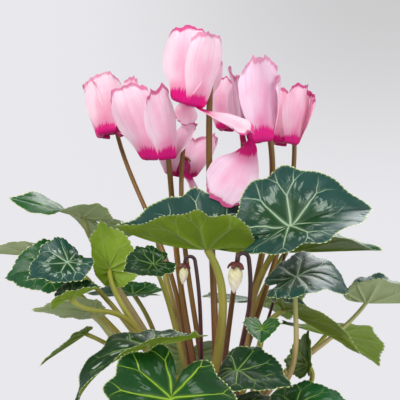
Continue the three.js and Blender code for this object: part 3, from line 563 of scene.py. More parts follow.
def blade_upper_finish():
    """Dark glossy green, with veins, torn silver patches and a bright bead on each tooth of the margin."""
    shadows, silver_white = (paint(6, 34, 12), paint(8, 40, 20)), paint(172, 190, 172)
    rim, bead = paint(150, 172, 96), paint(206, 222, 160)
    f = Finish("blade_upper")
    here, radius, sector, beside, luck = blade_lines(f)
    share, silver = f.value("share"), f.value("silver")
    soft = f.noise(here, 4.0, 3.0)
    fine = f.noise(here, 34.0, 4.0, 0.6)
    inner, outer, line = f.colour("inner"), f.colour("outer"), f.colour("line")
    # towards the margin the ground turns to the outer colour, partly the blade's own tone and partly a
    # painted bluish reflection
    ground = f.mix((radius + (soft - 0.5) * 0.7).over(0.25, 0.6), inner, outer)
    ground = f.mix((soft - 0.5).over(0.0, 0.3) * 0.5, ground, shadows[0])
    ground = f.mix((fine - 0.5).over(0.0, 0.25) * 0.25, ground, shadows[1])
    # silver marks: torn patches between the veins, each field with its own place and strength
    field = f.join(sector * 1.9, radius * 2.2, f.value("seed") + 3.0)
    torn = f.noise(field, 2.2, 5.0, 0.68)
    ring = (abs(share - 0.6 + (luck - 0.5) * 0.3) / 0.16).under(0.2, 1.1)
    patch = (torn + ring * 0.2 - 0.1).over(0.58, 0.63) * ring * (beside / 0.05).over(0.3, 0.8)
    streak = f.noise(f.join(sector * 12.0, radius * 1.8, f.value("seed")), 2.6, 4.0, 0.6)
    patch = patch * streak.over(0.36, 0.5) * silver
    ground = f.mix(patch * 0.9, ground, silver_white)
    torn_vein = f.noise(here, 9.0, 3.0, 0.6)
    width = 0.0165 * (0.7 + torn_vein * 0.6)
    vein = vein_line(radius, beside, width, 0.58)
    halo = vein_line(radius, beside, 0.045, 0.3)
    ground = f.mix(halo * 0.16, ground, line)
    ground = f.mix(vein * (0.55 + torn_vein * 0.55), ground, line)
    ground = f.mix(share.over(0.97, 0.995) * 0.45, ground, rim)
    ground = f.mix(f.value("bead").over(*BEAD_OVER), ground, bead)
    pebble = f.cells(here, 26.0, "SMOOTH_F1")
    height = pebble * 0.25 + fine * 0.3 - vein * 0.5
    normal = f.bump(height, 0.0006, 0.6)
    rough = 0.3 + fine * 0.2 + patch * 0.1
    return f.surface(base_color=ground, roughness=rough, normal=normal, specular_ior_level=0.4,
                     thin=0.1, thin_colour=paint(60, 120, 16))


def blade_under_finish():
    """Paler and duller green, with broad raised veins."""
    tints = (paint(70, 96, 10), paint(190, 200, 130), paint(214, 214, 150))
    rim, bead = paint(180, 194, 110), paint(206, 216, 160)
    f = Finish("blade_under")
    here, radius, _, beside, _ = blade_lines(f)
    share = f.value("share")
    soft = f.noise(here, 3.0, 3.0)
    fine = f.noise(here, 30.0, 4.0, 0.6)
    under = f.colour("under")
    ground = f.mix(soft.over(0.3, 0.7) * 0.35, under, f.mix(0.5, under, tints[0]))
    ground = f.mix(fine.over(0.45, 0.7) * 0.18, ground, tints[1])
    vein = vein_line(radius, beside, 0.026, 0.7)
    ground = f.mix(vein * 0.45, ground, f.mix(0.5, under, tints[2]))
    ground = f.mix(share.over(0.965, 0.99) * 0.5, ground, rim)
    ground = f.mix(f.value("bead").over(*BEAD_OVER), ground, bead)
    height = vein * 0.7 + fine * 0.3 + f.cells(here, 30.0, "SMOOTH_F1") * 0.2
    normal = f.bump(height, 0.0006, 0.5)
    return f.surface(base_color=ground, roughness=0.46 + fine * 0.16, normal=normal, specular_ior_level=0.35,
                     thin=0.26, thin_colour=paint(150, 180, 34))


def petal_finish():
    """Pale pink with fine lines, a magenta eye at the mouth and a torn fringe at the tip.

    The map's u is 0 at one edge of a petal and 1 at the other, and its v runs from the mouth to the tip.
    """
    f = Finish("petal")
    u, v = f.flat()
    across = abs(u - 0.5) * 2
    seed = f.value("seed")
    lengthwise = f.noise(f.join(u * 22.0, v * 1.1, seed), 1.0, 4.0, 0.6)
    fans = f.noise(f.join(u * 60.0, v * 2.4, seed + 5.0), 1.0, 3.0, 0.6)
    soft = f.noise(f.join(u * 2.0, v * 2.2, seed + 9.0), 1.6, 2.0)
    pale, pink = paint(255, 246, 250), paint(246, 152, 192)
    line_pink, fan_pink = paint(232, 130, 182), paint(216, 120, 176)
    rose, magenta = paint(232, 60, 150), paint(212, 0, 118)
    wine, fringe_pink = paint(150, 0, 80), paint(204, 14, 120)
    centre = across.under(0.15, 0.85) * v.over(0.1, 0.35) * v.under(0.5, 0.95)
    warmth = (soft - 0.5) * 1.1 + centre * 0.5 + v.under(0.2, 0.5) * 0.3 - 0.04
    body = f.mix(warmth, pale, pink)
    body = f.mix(0.5, body, f.colour("mauve"), "MULTIPLY")
    body = f.mix((lengthwise - 0.5).over(-0.05, 0.22) * 0.26, body, line_pink)
    body = f.mix((fans - 0.5).over(0.02, 0.2) * 0.14 * v.over(0.1, 0.3), body, fan_pink)
    # the eye: deep magenta at the mouth, torn upwards along the veins
    edge = v + (lengthwise - 0.5) * 0.16 + (fans - 0.5) * 0.1 + across * 0.02
    glow, eye, deep = edge.under(0.24, 0.44), edge.under(0.245, 0.295), edge.under(0.08, 0.2)
    body = f.mix(glow * 0.45, body, rose)
    body = f.mix(eye, body, magenta)
    body = f.mix(deep * 0.5, body, wine)
    # the fringe at the tip, torn into patches along it
    reach = v + (lengthwise - 0.5) * 0.05 + (soft - 0.5) * 0.1 + across * 0.012
    fringe = reach.over(0.94, 0.972) * f.value("fringe")
    body = f.mix(fringe, body, fringe_pink)
    normal = f.bump(lengthwise * 0.6 + fans * 0.4, 0.0005, 0.4)
    return f.surface(base_color=body, roughness=0.46 + soft * 0.1, normal=normal, specular_ior_level=0.25,
                     thin=0.34 - eye * 0.32 - fringe * 0.25, thin_colour=paint(255, 214, 232))


def throat_finish():
    """Deep magenta, finely streaked."""
    f = Finish("throat")
    place = f.place()
    streaks = f.noise(place, 900.0, 3.0)
    colour = f.mix(streaks.over(0.3, 0.7), paint(140, 0, 78), paint(186, 10, 110))
    return f.surface(base_color=colour, roughness=0.5 + streaks * 0.1, normal=f.bump(streaks, 0.0004, 0.4))


def style_finish():
    """Cream, flecked with rose."""
    f = Finish("style")
    grain = f.noise(f.place(), 1600.0, 3.0)
    colour = f.mix(grain.over(0.3, 0.7), paint(196, 176, 120), paint(160, 60, 90))
    return f.surface(base_color=colour, roughness=0.45 + grain * 0.1, normal=f.bump(grain, 0.0002, 0.4))


def stem_finish():
    """The map's v runs from a stem's foot to its head; low, middle and high are its colours there."""
    f = Finish("stem")
    u, v = f.flat()
    place = f.place()
    streak = f.noise(f.join(u * 9.0, v * 3.0, f.value("seed")), 1.4, 4.0, 0.6)
    speck = f.noise(place, 1500.0, 3.0, 0.6)
    at = v + (streak - 0.5) * 0.3
    colour = f.mix(at.over(0.1, 0.5), f.colour("low"), f.colour("middle"))
    colour = f.mix(at.over(0.55, 0.95), colour, f.colour("high"))
    colour = f.mix(streak.over(0.5, 0.75) * 0.3, colour, paint(60, 26, 12))
    colour = f.mix(speck.over(0.55, 0.75) * 0.16, colour, paint(190, 160, 90))
    normal = f.bump(streak * 0.6 + speck * 0.4, 0.0004, 0.5)
    return f.surface(base_color=colour, roughness=0.3 + speck * 0.2, normal=normal, specular_ior_level=0.5,
                     thin=0.08, thin_colour=paint(150, 120, 50))


def sepal_finish():
    """Mottled between the two colours of the calyx."""
    f = Finish("sepal")
    place = f.place()
    grain = f.noise(place, 700.0, 4.0, 0.6)
    fine = f.noise(place, 2400.0, 3.0)
    colour = f.mix(grain.over(0.35, 0.65), f.colour("low"), f.colour("high"))
    normal = f.bump(grain * 0.6 + fine * 0.4, 0.0004, 0.5)
    return f.surface(base_color=colour, roughness=0.42 + fine * 0.12, normal=normal)


def bud_finish():
    """The map's v runs from the calyx to the tip of the bud."""
    f = Finish("bud")
    u, v = f.flat()
    lines = f.noise(f.join(u * 14.0, v * 2.0, f.value("seed")), 1.0, 3.0)
    colour = f.mix(v.over(0.2, 0.85), paint(214, 208, 160), paint(236, 226, 206))
    colour = f.mix(lines.over(0.5, 0.75) * 0.4, colour, paint(190, 150, 110))
    colour = f.mix(v.over(0.86, 1.0) * 0.35, colour, paint(206, 120, 150))
    return f.surface(base_color=colour, roughness=0.45 + lines * 0.1, normal=f.bump(lines, 0.0004, 0.5),
                     thin=0.15, thin_colour=paint(232, 222, 186))


def pot_finish():
    """Matt charcoal plastic with a fine grain, faint dust and fine scratches round it."""
    f = Finish("pot_plastic")
    place = f.place()
    grain = f.noise(place, 1500.0, 3.0, 0.6)
    cloud = f.noise(place, 28.0, 4.0, 0.6)
    scratch = f.noise(f.stretched(place, (20.0, 20.0, 300.0)), 6.0, 3.0, 0.7)
    height = f.split(place)[2]
    dust = height.under(0.0, 0.03) * 0.5 + cloud.over(0.5, 0.75) * 0.35
    colour = f.mix(grain.over(0.35, 0.65) * 0.5, paint(40, 43, 46), paint(52, 55, 58))
    colour = f.mix(dust * 0.35, colour, paint(96, 92, 86))
    colour = f.mix(scratch.over(0.68, 0.76) * 0.25, colour, paint(104, 106, 108))
    rough = 0.42 + cloud * 0.16 + dust * 0.12
    normal = f.bump(grain * 0.5 + scratch * 0.5, 0.0002, 0.35)
    return f.surface(base_color=colour, roughness=rough, normal=normal)


def soil_finish():
    """Dark compost with pale fibres, and lighter crumbs."""
    f = Finish("compost")
    place = f.place()
    lump = f.noise(place, 120.0, 6.0, 0.7)
    fibre = f.noise(f.stretched(place, (1.0, 9.0, 9.0), (0.3, 0.7, 0.9)), 160.0, 4.0, 0.7)
    grain = f.cells(place, 900.0)
    colour = f.mix(lump.over(0.35, 0.68), paint(34, 24, 17), paint(74, 54, 38))
    colour = f.mix(fibre.over(0.6, 0.7) * 0.55, colour, paint(124, 92, 58))
    colour = f.mix(f.value("crumb") * 0.6, colour, f.mix(grain, paint(46, 32, 22), paint(98, 72, 48)))
    normal = f.bump(lump * 0.6 + grain * 0.4, 0.0012, 0.9)
    return f.surface(base_color=colour, roughness=0.86 + lump * 0.1, normal=normal, specular_ior_level=0.2)


def tuber_finish():
    """Corky brown skin, cracked into plates: the places are shaken by noise before they are divided."""
    f = Finish("tuber_skin")
    place = f.place()
    lump = f.noise(place, 90.0, 5.0, 0.65)
    shake = f.node("VectorMath", {"operation": "SCALE"}, {0: f.noise(place, 60.0, 3.0), "Scale": 0.01})
    shaken = f.node("VectorMath", {"operation": "ADD"}, {0: place, 1: shake})
    crack = f.cells(shaken, 190.0, "DISTANCE_TO_EDGE")
    cork = f.noise(place, 800.0, 4.0, 0.7)
    colour = f.mix(lump.over(0.35, 0.65), paint(86, 62, 42), paint(128, 98, 70))
    colour = f.mix(crack.under(0.0, 0.09) * 0.7, colour, paint(44, 30, 20))
    colour = f.mix(cork.over(0.5, 0.75) * 0.35, colour, paint(160, 132, 98))
    normal = f.bump(crack.over(0.0, 0.12) * 0.6 + cork * 0.4, 0.001, 0.8)
    return f.surface(base_color=colour, roughness=0.78 + cork * 0.14, normal=normal, specular_ior_level=0.25)


BLADE_UPPER, BLADE_UNDER = blade_upper_finish(), blade_under_finish()
PETALS, THROATS, STYLES = petal_finish(), throat_finish(), style_finish()
STEMS, SEPALS, BUDDED = stem_finish(), sepal_finish(), bud_finish()
POT_PLASTIC, COMPOST, TUBER_SKIN = pot_finish(), soil_finish(), tuber_finish()

# ---------------------------------------------------------------- stems

def crown(foot):
    """Where a stem stands on the tuber's skin, and the way it leaves it."""
    bearing, distance = foot
    share = distance / TUBER["radius"]
    height = TUBER["centre"] + TUBER["half_height"] * math.sqrt(1 - share * share)
    skin = level(bearing) * distance + np.array([0, 0, height])
    return skin, unit(level(bearing) * 0.75 * share + np.array([0, 0, 1.0]))


def reach(foot, foot_way, head, head_way, steps, lift=0.4, drop=0.35, sway=(0, 0, 0)):
    """Points on a cubic curve from a foot to a head; sway is how far its middle is pushed aside."""
    span = np.linalg.norm(head - foot)
    s = np.linspace(0, 1, steps + 1)[:, None]
    a, b = foot + foot_way * lift * span, head - head_way * drop * span
    curve = foot * (1 - s) ** 3 + 3 * a * s * (1 - s) ** 2 + 3 * b * s * s * (1 - s) + head * s ** 3
    return curve + np.array(sway, float) * 16 * s * s * (1 - s) ** 2


def bent(item):
    """How the stem of a leaf, bloom or bud is bent, where its table says so."""
    return {key: item[key] for key in ("lift", "drop", "sway") if key in item}


# stem colours from the foot to the head
PETIOLE_TINTS = {
    "olive": (paint(140, 82, 38), paint(140, 112, 38), paint(146, 142, 46)),
    "lime": (paint(146, 104, 44), paint(158, 144, 54), paint(168, 168, 66)),
    "pale": (paint(168, 122, 84), paint(176, 152, 98), paint(170, 172, 104)),
    "moss": (paint(128, 76, 42), paint(146, 112, 52), paint(146, 148, 60)),
}
STALK_TINTS = (paint(122, 62, 32), paint(138, 100, 34), paint(122, 88, 34))
DARK_TINTS = (paint(96, 32, 26), paint(74, 22, 24), paint(46, 14, 18))


def stem_piece(name, path, radii, tints, stands_for=(), sides=14):
    """A stem along a path; its section is a circle with two low lobes, at a turn of its own."""
    rng = seeded(name)
    lobes, first = rng.uniform(0.02, 0.05), rng.uniform(0, 2 * np.pi)

    def section(turn):
        """The section's radius, as a share, at each turn round the stem."""
        return 1 + lobes * np.cos(2 * turn + first)

    rings = tube(path, radii, sides, section)
    points, faces, uv = tube_mesh(rings)
    values = dict(low=tints[0], middle=tints[1], high=tints[2],
                  seed=np.full(len(points), rng.uniform(0, 40)))
    return mesh_piece(name, points, faces, [STEMS], stands_for, uv, values=values)


# ---------------------------------------------------------------- leaves

def margin(theta):
    """Distance from the joint to the margin, as a share of the size: a heart with a deep notch behind."""
    degrees = np.abs(np.degrees(theta))
    point = HEART["point"] * np.exp(-((degrees / HEART["point_spread"]) ** 2))
    heart = HEART["flank"] + point - HEART["shrink"] * (1 - np.cos(theta))
    notch = 1 - HEART["notch"] * np.exp(-(((180 - degrees) / HEART["notch_spread"]) ** 2))
    return heart * notch * (1 + BLADE["corner"] * np.cos(theta * 360 / BLADE["corner_every"]))


def blade_frame(leaf):
    """The directions of a blade: along its midrib, out of its upper side, and to its left."""
    run, face = unit(np.array(leaf["points"], float)), np.array(leaf["faces"], float)
    out = unit(face - run * face.dot(run))
    return run, out, np.cross(out, run)


def blade_point(leaf, share, theta, above):
    """Points of the blade: a flat heart, then folded along the midrib, rippled, twisted and arched.

    above is the height over the blade's middle layer, along the folded sheet's own upright.
    """
    size = leaf["size"]
    run, out, left = blade_frame(leaf)
    radius = share * size * margin(theta)
    x = radius * np.cos(theta) * np.where(np.cos(theta) < 0, leaf.get("lobes", 1), 1)
    y = radius * np.sin(theta) * leaf.get("broad", 1)
    right = y < 0
    sign = np.where(right, -1, 1)
    fold = np.radians(np.where(right, leaf["fold"][1], leaf["fold"][0]))
    curls = leaf.get("curl", (0, 0))
    curl = np.radians(np.where(right, curls[1], curls[0])) / (0.8 * size)
    soft = BLADE["crease"] * size
    width = np.hypot(y, soft) - soft
    flat, rise = arc(curl, width)
    slope = (fold + curl * width) * smoothstep(np.abs(y), 0, 0.8 * soft)
    height, count, phase = leaf.get("wave", (0, 3, 0))
    across = (flat * np.cos(fold) - rise * np.sin(fold) - above * np.sin(slope)) * sign
    up = flat * np.sin(fold) + rise * np.cos(fold) + above * np.cos(slope)
    up = up + height * share * share * np.sin(count * theta + math.radians(phase))
    turn = math.radians(leaf.get("twist", 0)) * x / size
    across, up = across * np.cos(turn) - up * np.sin(turn), across * np.sin(turn) + up * np.cos(turn)
    bends = leaf.get("bend", (0, 0))
    k = np.where(x > 0, math.radians(bends[0]) / size, math.radians(bends[1]) / (0.6 * size))
    forward, fall = arc(k, x)
    along = forward + up * np.sin(k * x)
    lifted = up * np.cos(k * x) - fall
    return (np.array(leaf["at"], float) + along[..., None] * run + across[..., None] * left
            + lifted[..., None] * out)


def vein_nearness(share, theta):
    """1 on a main vein and 0 midway between two, with the veins every VEIN_EVERY degrees."""
    degrees = np.degrees(theta) / VEIN_EVERY
    off = np.abs(degrees - np.round(degrees)) * 2
    return np.exp(-((off * share * 6) ** 2))


TOOTH_EVERY = 2.9  # millimetres along the margin
TOOTH_DEPTH = 0.75
MARGIN_LENGTH = 0.76  # of the margin, as a share of a circle's whose radius is the blade's size
FROM_JOINT = (0.05, 0.12, 0.2, 0.28, 0.36, 0.44, 0.52, 0.6, 0.68, 0.75, 0.81, 0.87, 0.92, 0.955, 0.98, 1)
# what the blade's piece adds to its plain shape: as shares of the size, the domes between the veins and the
# waves and unevenness of the margin; in millimetres, the ridge of a main vein below and the joint's two skins
RELIEF = dict(dome=0.016, wave=0.013, uneven=0.012, ridge=0.5, joint=(0.3, -0.6))


def blade_piece(name, leaf):
    """The blade's two sides, closed by a thin rim, with toothed margin, raised veins and domed fields."""
    rng = seeded(name)
    size = leaf["size"]
    around = 2 * math.pi * MARGIN_LENGTH * size
    teeth = int(round(around / TOOTH_EVERY / BLADE["scallops"])) * BLADE["scallops"]
    teeth = max(teeth, 2 * BLADE["scallops"])
    count = 4 * teeth
    theta = (np.arange(count) / count) * 2 * np.pi
    theta = np.where(theta > np.pi, theta - 2 * np.pi, theta)
    share, turn = np.meshgrid(np.array(FROM_JOINT), theta, indexing="ij")
    away = smoothstep(np.abs(np.degrees(turn)), 176, 160)
    tip = np.abs(np.cos(teeth * turn / 2)) ** 0.8
    tooth = TOOTH_DEPTH / size * (tip * 2 - 1)
    edge = smoothstep(share, 0.86, 1)
    scallop = BLADE["scallop"] * np.cos(BLADE["scallops"] * turn)
    uneven = RELIEF["uneven"] * ripple(turn, rng, (3, 5, 8))
    toothed = share * (1 + edge * away * (scallop + tooth + uneven))
    nearness = vein_nearness(share, turn)
    field = (1 - nearness) * smoothstep(share, 0.1, 0.35) * smoothstep(share, 1.0, 0.75)
    dome = RELIEF["dome"] * size * field
    wavy = RELIEF["wave"] * size * edge * ripple(turn, rng, (7, 11, 17), 0.7) * away
    sheet = dome + wavy
    thick = BLADE["thick"] * (0.2 + 0.45 * smoothstep(share, 1.0, 0.9))
    ridge = RELIEF["ridge"] * nearness ** 4 * smoothstep(share, 0.9, 0.1)
    top = blade_point(leaf, toothed, turn, sheet + thick / 2)
    bottom = blade_point(leaf, toothed, turn, sheet - thick / 2 - ridge)
    at_joint = np.zeros(1)
    middle = [blade_point(leaf, at_joint, at_joint, at_joint + height) for height in RELIEF["joint"]]
    points = np.concatenate([middle[0], top.reshape(-1, 3), middle[1], bottom.reshape(-1, 3)])
    rows = len(FROM_JOINT)
    half = 1 + rows * count
    faces, finish = [], []
    for start, flip in ((0, False), (half, True)):
        faces += fan_faces(start, count, flip) + grid_faces(rows, count, start + 1, wrap=True, flip=flip)
        finish += [int(flip)] * (len(faces) - len(finish))
    rim_top = 1 + (rows - 1) * count + np.arange(count)
    faces += band(rim_top + half, rim_top)
    finish += [0] * count
    flat = toothed * margin(turn)
    flat_points = np.stack([flat * np.cos(turn), flat * np.sin(turn)], -1).reshape(-1, 2)
    flat_points = np.concatenate([[[0, 0]], flat_points])
    uv = 0.5 + FLAT_SCALE * np.concatenate([flat_points, flat_points])
    shares_of = np.concatenate([[0], share.ravel()])
    beads = np.concatenate([[0], (tip * smoothstep(share, 0.95, 1)).ravel()])
    upper, under, silver = LEAF_LOOKS[name]
    inner, outer, line = UPPER[upper]
    total = len(points)
    values = dict(share=np.concatenate([shares_of, shares_of]), silver=np.full(total, silver),
                  bead=np.concatenate([beads, beads]), seed=np.full(total, rng.uniform(0, 40)),
                  inner=inner, outer=outer, line=line, under=UNDER[under])
    mesh_piece(name + "_blade", points, faces, [BLADE_UPPER, BLADE_UNDER], [name], uv, finish,
               values, crease=60)


def petiole_piece(name, leaf):
    """The leaf's stem, from its socket in the tuber to the joint, where it swells."""
    skin, leaves_way = crown(leaf["foot"])
    run, out, _ = blade_frame(leaf)
    neck = np.array(leaf["at"], float) - out * 0.3
    rise, forth = leaf.get("joint", (0.7, 0.5))
    head_way = unit(out * rise + run * forth)
    path = reach(skin, leaves_way, neck, head_way, 30, **bent(leaf))
    path = np.concatenate([[skin - leaves_way * (SOCKET - GAP)], path])
    s = np.linspace(0, 1, len(path))
    stout = leaf.get("stout", 1)
    radii = (PETIOLE["foot"] + (PETIOLE["neck"] - PETIOLE["foot"]) * s) * stout
    radii = radii * (1 + 0.3 * smoothstep(s, 0.955, 1.0)) * (1 - 0.3 * smoothstep(s, 0.99, 1.0))
    stem_piece(name + "_petiole", path, radii, PETIOLE_TINTS[LEAF_LOOKS[name][1]])


# ---------------------------------------------------------------- blooms

def bloom_frame(flower):
    """The directions of a bloom or bud: along its axis, to its right, and to its back."""
    up = unit(np.array(flower["axis"], float))
    right = unit(np.array([1.0, 0, 0]) - up * up[0])
    return up, right, np.cross(up, right)


def bearing_in(flower, bearing):
    """The direction at a bearing round a bloom's axis."""
    _, right, back = bloom_frame(flower)
    angle = np.radians(np.asarray(bearing, float))[..., None]
    return right * np.cos(angle) + back * np.sin(angle)


PETAL_STEPS = 60
# how a petal's tip is torn: low waves, points where a ripple passes a height, corners and how far it falls
# short, as shares of the length; and in millimetres its frill, its rolled edge and the pleat down its middle
TIP = dict(torn=0.010, point=0.045, point_over=0.9, corner=(-0.02, 0.05), short=0.01)
EDGE = dict(frill=0.5, frills=13, roll=2.2, pleat=0.35, pleat_width=0.16)


def petal_spine(bloom, petal):
    """The middle line of a petal: down inside the mouth, a tight turn outwards, then up in an open bow."""
    bearing, rise, bow, lean, twist, length = petal[:6]
    up, _, _ = bloom_frame(bloom)
    out = bearing_in(bloom, bearing)
    side = np.cross(up, out)
    share = np.linspace(0, 1, PETAL_STEPS + 1)
    gone = share * length
    turn = PETAL["hook"] + PETAL["bend"] * (math.radians(rise) + math.pi / 2)
    climb = -math.pi / 2 + (np.clip(gone, PETAL["hook"], turn) - PETAL["hook"]) / PETAL["bend"]
    climb = climb + math.radians(bow) * np.clip((gone - turn) / (length - turn), 0, None)
    aside = math.radians(lean) * smoothstep(share, *PETAL["lean_over"])
    way = (out * (np.cos(climb) * np.cos(aside))[:, None] + up * (np.sin(climb) * np.cos(aside))[:, None]
           + side * np.sin(aside)[:, None])
    step = (way[1:] + way[:-1]) * length / PETAL_STEPS / 2
    start = np.array(bloom["at"], float) + out * PETAL["mouth"] + up * PETAL["hook"]
    here = np.concatenate([start[None], start + np.cumsum(step, 0)])
    flat = unit(side - way * (way @ side)[:, None])
    normal = np.cross(way, flat)
    roll = (math.radians(twist) * smoothstep(share, *PETAL["twist_over"]))[:, None]
    across = flat * np.cos(roll) + normal * np.sin(roll)
    return here, across, np.cross(way, across)


def petal_surface(bloom, petal, s, t, rng):
    """Points of a petal: s runs from the mouth to the tip, t from one edge (-1) to the other (1)."""
    here, across, normal = petal_spine(bloom, petal)
    width, cup = petal[6:8]
    bearing, length = petal[0], petal[5]
    torn = TIP["torn"] * ripple(t * 3, rng, (2.3, 4.1, 7.7, 13.0), 0.8)
    spikes = TIP["point"] * np.clip(ripple(t * 3, rng, (3.1, 5.3), 1.0) - TIP["point_over"], 0, 1)
    corners = rng.uniform(*TIP["corner"]) * np.abs(t) ** 3
    ragged = smoothstep(s, 0.8, 1.0)
    place = s * (1 - PETAL["round"] * np.abs(t) ** 3 + ragged * (torn + spikes + corners - TIP["short"]))
    last = len(here) - 1
    step = np.clip(place, 0, 1) * last
    low = np.minimum(step.astype(int), last - 1)
    mix = (step - low)[..., None]

    def between(line):
        """The line's value at each place, blended from the two steps beside it."""
        return line[low] * (1 - mix) + line[low + 1] * mix

    past = np.clip(place - 1, 0, None)[..., None] * length
    shares = PETAL_WIDTH
    widening = (shares["mouth"] + shares["low"] * smoothstep(s, 0, 0.2)
                + shares["high"] * smoothstep(s, 0.1, 0.7))
    half = (width / 2) * widening * (1 - shares["tip"] * smoothstep(s, 0.8, 1))
    k = math.radians(cup) * smoothstep(s, 0.1, 0.5) / half
    sideways, up = arc(k, half * t)
    ruffle = PETAL["ruffle"] * smoothstep(s, 0.6, 1) * np.sin(PETAL["ruffles"] * t + bearing * 0.37)
    frill = EDGE["frill"] * smoothstep(s, 0.78, 1) * np.sin(EDGE["frills"] * t + rng.uniform(0, 6))
    roll = rng.uniform(-EDGE["roll"], EDGE["roll"])
    rolled = roll * smoothstep(s, 0.86, 1.0) ** 2 * (0.4 + 0.6 * np.abs(t))
    groove = np.exp(-((t / EDGE["pleat_width"]) ** 2))
    pleat = -EDGE["pleat"] * groove * smoothstep(s, 0.12, 0.3) * smoothstep(s, 0.95, 0.5)
    ends = unit(here[-1] - here[-2])
    return (between(here) + past * ends + between(across) * sideways[..., None]
            + between(normal) * (up + ruffle + frill + rolled + pleat)[..., None])


def sheet_normals(grid):
    """The upright of a sheet at each of its points: across its rows and columns."""
    return unit(np.cross(np.gradient(grid, axis=0), np.gradient(grid, axis=1)))


def petals_piece(number, bloom):
    """All petals of a bloom, each with two faces and a thin rim."""
    name = "bloom_%d" % number
    rng = seeded(name)
    rows, columns = 44, 23
    s_line = np.linspace(0, 1, rows) ** 0.85
    t_line = np.sin(np.linspace(-1, 1, columns) * np.pi / 2)
    s, t = np.meshgrid(s_line, t_line, indexing="ij")
    points, faces, uv, seeds, fringes = [], [], [], [], []
    start = 0
    for petal in bloom["petals"]:
        middle = petal_surface(bloom, petal, s, t, rng)
        thick = PETAL["thick"] * (0.25 + 0.55 * smoothstep(s, 1.0, 0.0) * smoothstep(np.abs(t), 1.0, 0.5))
        offset = sheet_normals(middle) * (thick / 2)[..., None]
        points += [(middle + offset).reshape(-1, 3), (middle - offset).reshape(-1, 3)]
        half = rows * columns
        faces += grid_faces(rows, columns, start) + grid_faces(rows, columns, start + half, flip=True)
        number_of = start + np.arange(half).reshape(rows, columns)
        loop = np.concatenate([number_of[:-1, 0], number_of[-1, :-1],
                               number_of[:0:-1, -1], number_of[0, :0:-1]])
        faces += band(loop, loop + half)
        flat = np.stack([(t + 1) / 2, s], -1).reshape(-1, 2)
        uv += [flat, flat]
        seeds.append(np.full(2 * half, rng.uniform(0, 50)))
        fringes.append(np.full(2 * half, rng.uniform(0.55, 1.0)))
        start += 2 * half
    points = np.concatenate(points)
    values = dict(seed=np.concatenate(seeds), fringe=np.concatenate(fringes), mauve=BLOOM_TINTS[number])
    mesh_piece(name + "_petals", points, faces, [PETALS], [name], np.concatenate(uv),
               values=values, crease=60)


# what each bloom's petals are tinted with
BLOOM_TINTS = {1: paint(255, 234, 240), 2: paint(250, 236, 246), 3: paint(255, 228, 234),
               4: paint(240, 220, 242), 5: paint(255, 204, 222), 6: paint(246, 226, 244),
               7: paint(246, 222, 240)}


def turned(profile, sides, flower):
    """Points and faces of a profile of (radius, height) turned round a bloom's axis."""
    up, _, _ = bloom_frame(flower)
    profile = np.asarray(profile, float)
    turn = 360 * np.arange(sides) / sides
    ring = bearing_in(flower, turn)
    points = (np.array(flower["at"], float) + profile[:, 0, None, None] * ring[None]
              + profile[:, 1, None, None] * up)
    return points.reshape(-1, 3), grid_faces(len(profile), sides, wrap=True, flip=True)


def throat_piece(number, bloom):
    """The short round tube behind the mouth, with a rolled lip, and the style in it: two turned profiles."""
    radius, centre, wall, mouth = (THROAT[key] for key in ("radius", "centre", "wall", "mouth"))
    dome = np.radians(np.linspace(90, 8, 14))
    outer = [(max(radius * math.cos(a), 0.02), centre + radius * math.sin(a) - 0.2) for a in dome]
    lip = [(mouth + 0.1, 0.6), (mouth + 0.15, 0.1), (mouth - 0.2, -0.35), (mouth - 0.7, -0.3),
           (mouth - wall, 0.2)]
    inner = [(mouth - wall - 0.2, 2.0), (mouth - wall - 1.0, 4.2), (1.6, 6.4), (0.02, 6.8)]
    profile = outer + [(radius - 0.1, 2.4)] + lip + inner
    points, faces = turned(profile, 40, bloom)
    mesh_piece("bloom_%d_throat" % number, points, faces, [THROATS])
    pin = [(0.02, 6.2), (0.7, 6.0), (0.62, 3.0), (0.5, 0.0), (0.52, -1.2), (0.4, -1.7), (0.02, -1.85)]
    points, faces = turned(pin, 16, bloom)
    mesh_piece("bloom_%d_style" % number, points, faces, [STYLES])


def bloom_dome():
    """The ball that a bloom's calyx lies on, and how far down it the sepals part and reach, in degrees."""
    return dict(centre=THROAT["centre"], radius=THROAT["radius"] + 0.2, notch=28, tip=58)


def bud_dome(bud):
    """The same for a bud."""
    return dict(centre=0.3 - bud["radius"], radius=bud["radius"] + 0.2, notch=44, tip=78)


def calyx_piece(name, flower, dome, tints):
    """Five pointed sepals on a dome, joined at its top.

    How far the calyx reaches down from the dome's pole swings five times between notch and tip.
    """
    up, _, _ = bloom_frame(flower)
    middle = np.array(flower["at"], float) + up * dome["centre"]
    rows, count = 12, 100
    turn = 360 * np.arange(count) / count
    swing = np.abs(np.cos(np.radians(2.5 * turn))) ** 1.5
    reach_out = dome["notch"] + (dome["tip"] - dome["notch"]) * swing
    share = np.linspace(0.04, 1, rows)[:, None]
    polar = np.radians(share * reach_out[None])
    ring = bearing_in(flower, turn + flower["hook"])[None]
    layers = []
    keel = 0.35 * swing[None] ** 6 * smoothstep(share, 0.1, 0.5)
    for height in (GAP + CALYX["thick"], GAP):
        lift = dome["radius"] + height * (1 - 0.45 * share ** 2) + (keel if height > GAP else 0)
        over, aside = lift * np.cos(polar), lift * np.sin(polar)
        layers.append(middle + over[..., None] * up + aside[..., None] * ring)
    poles = [middle + up * (dome["radius"] + height) for height in (GAP + CALYX["thick"], GAP)]
    half = 1 + rows * count
    points = np.concatenate([poles[0][None], layers[0].reshape(-1, 3),
                             poles[1][None], layers[1].reshape(-1, 3)])
    faces = []
    for start, flip in ((0, False), (half, True)):
        faces += fan_faces(start, count, flip) + grid_faces(rows, count, start + 1, wrap=True, flip=flip)
    rim = 1 + (rows - 1) * count + np.arange(count)
    faces += band(rim + half, rim)
    mesh_piece(name, points, faces, [SEPALS], values=dict(low=tints[0], high=tints[1]), crease=60)


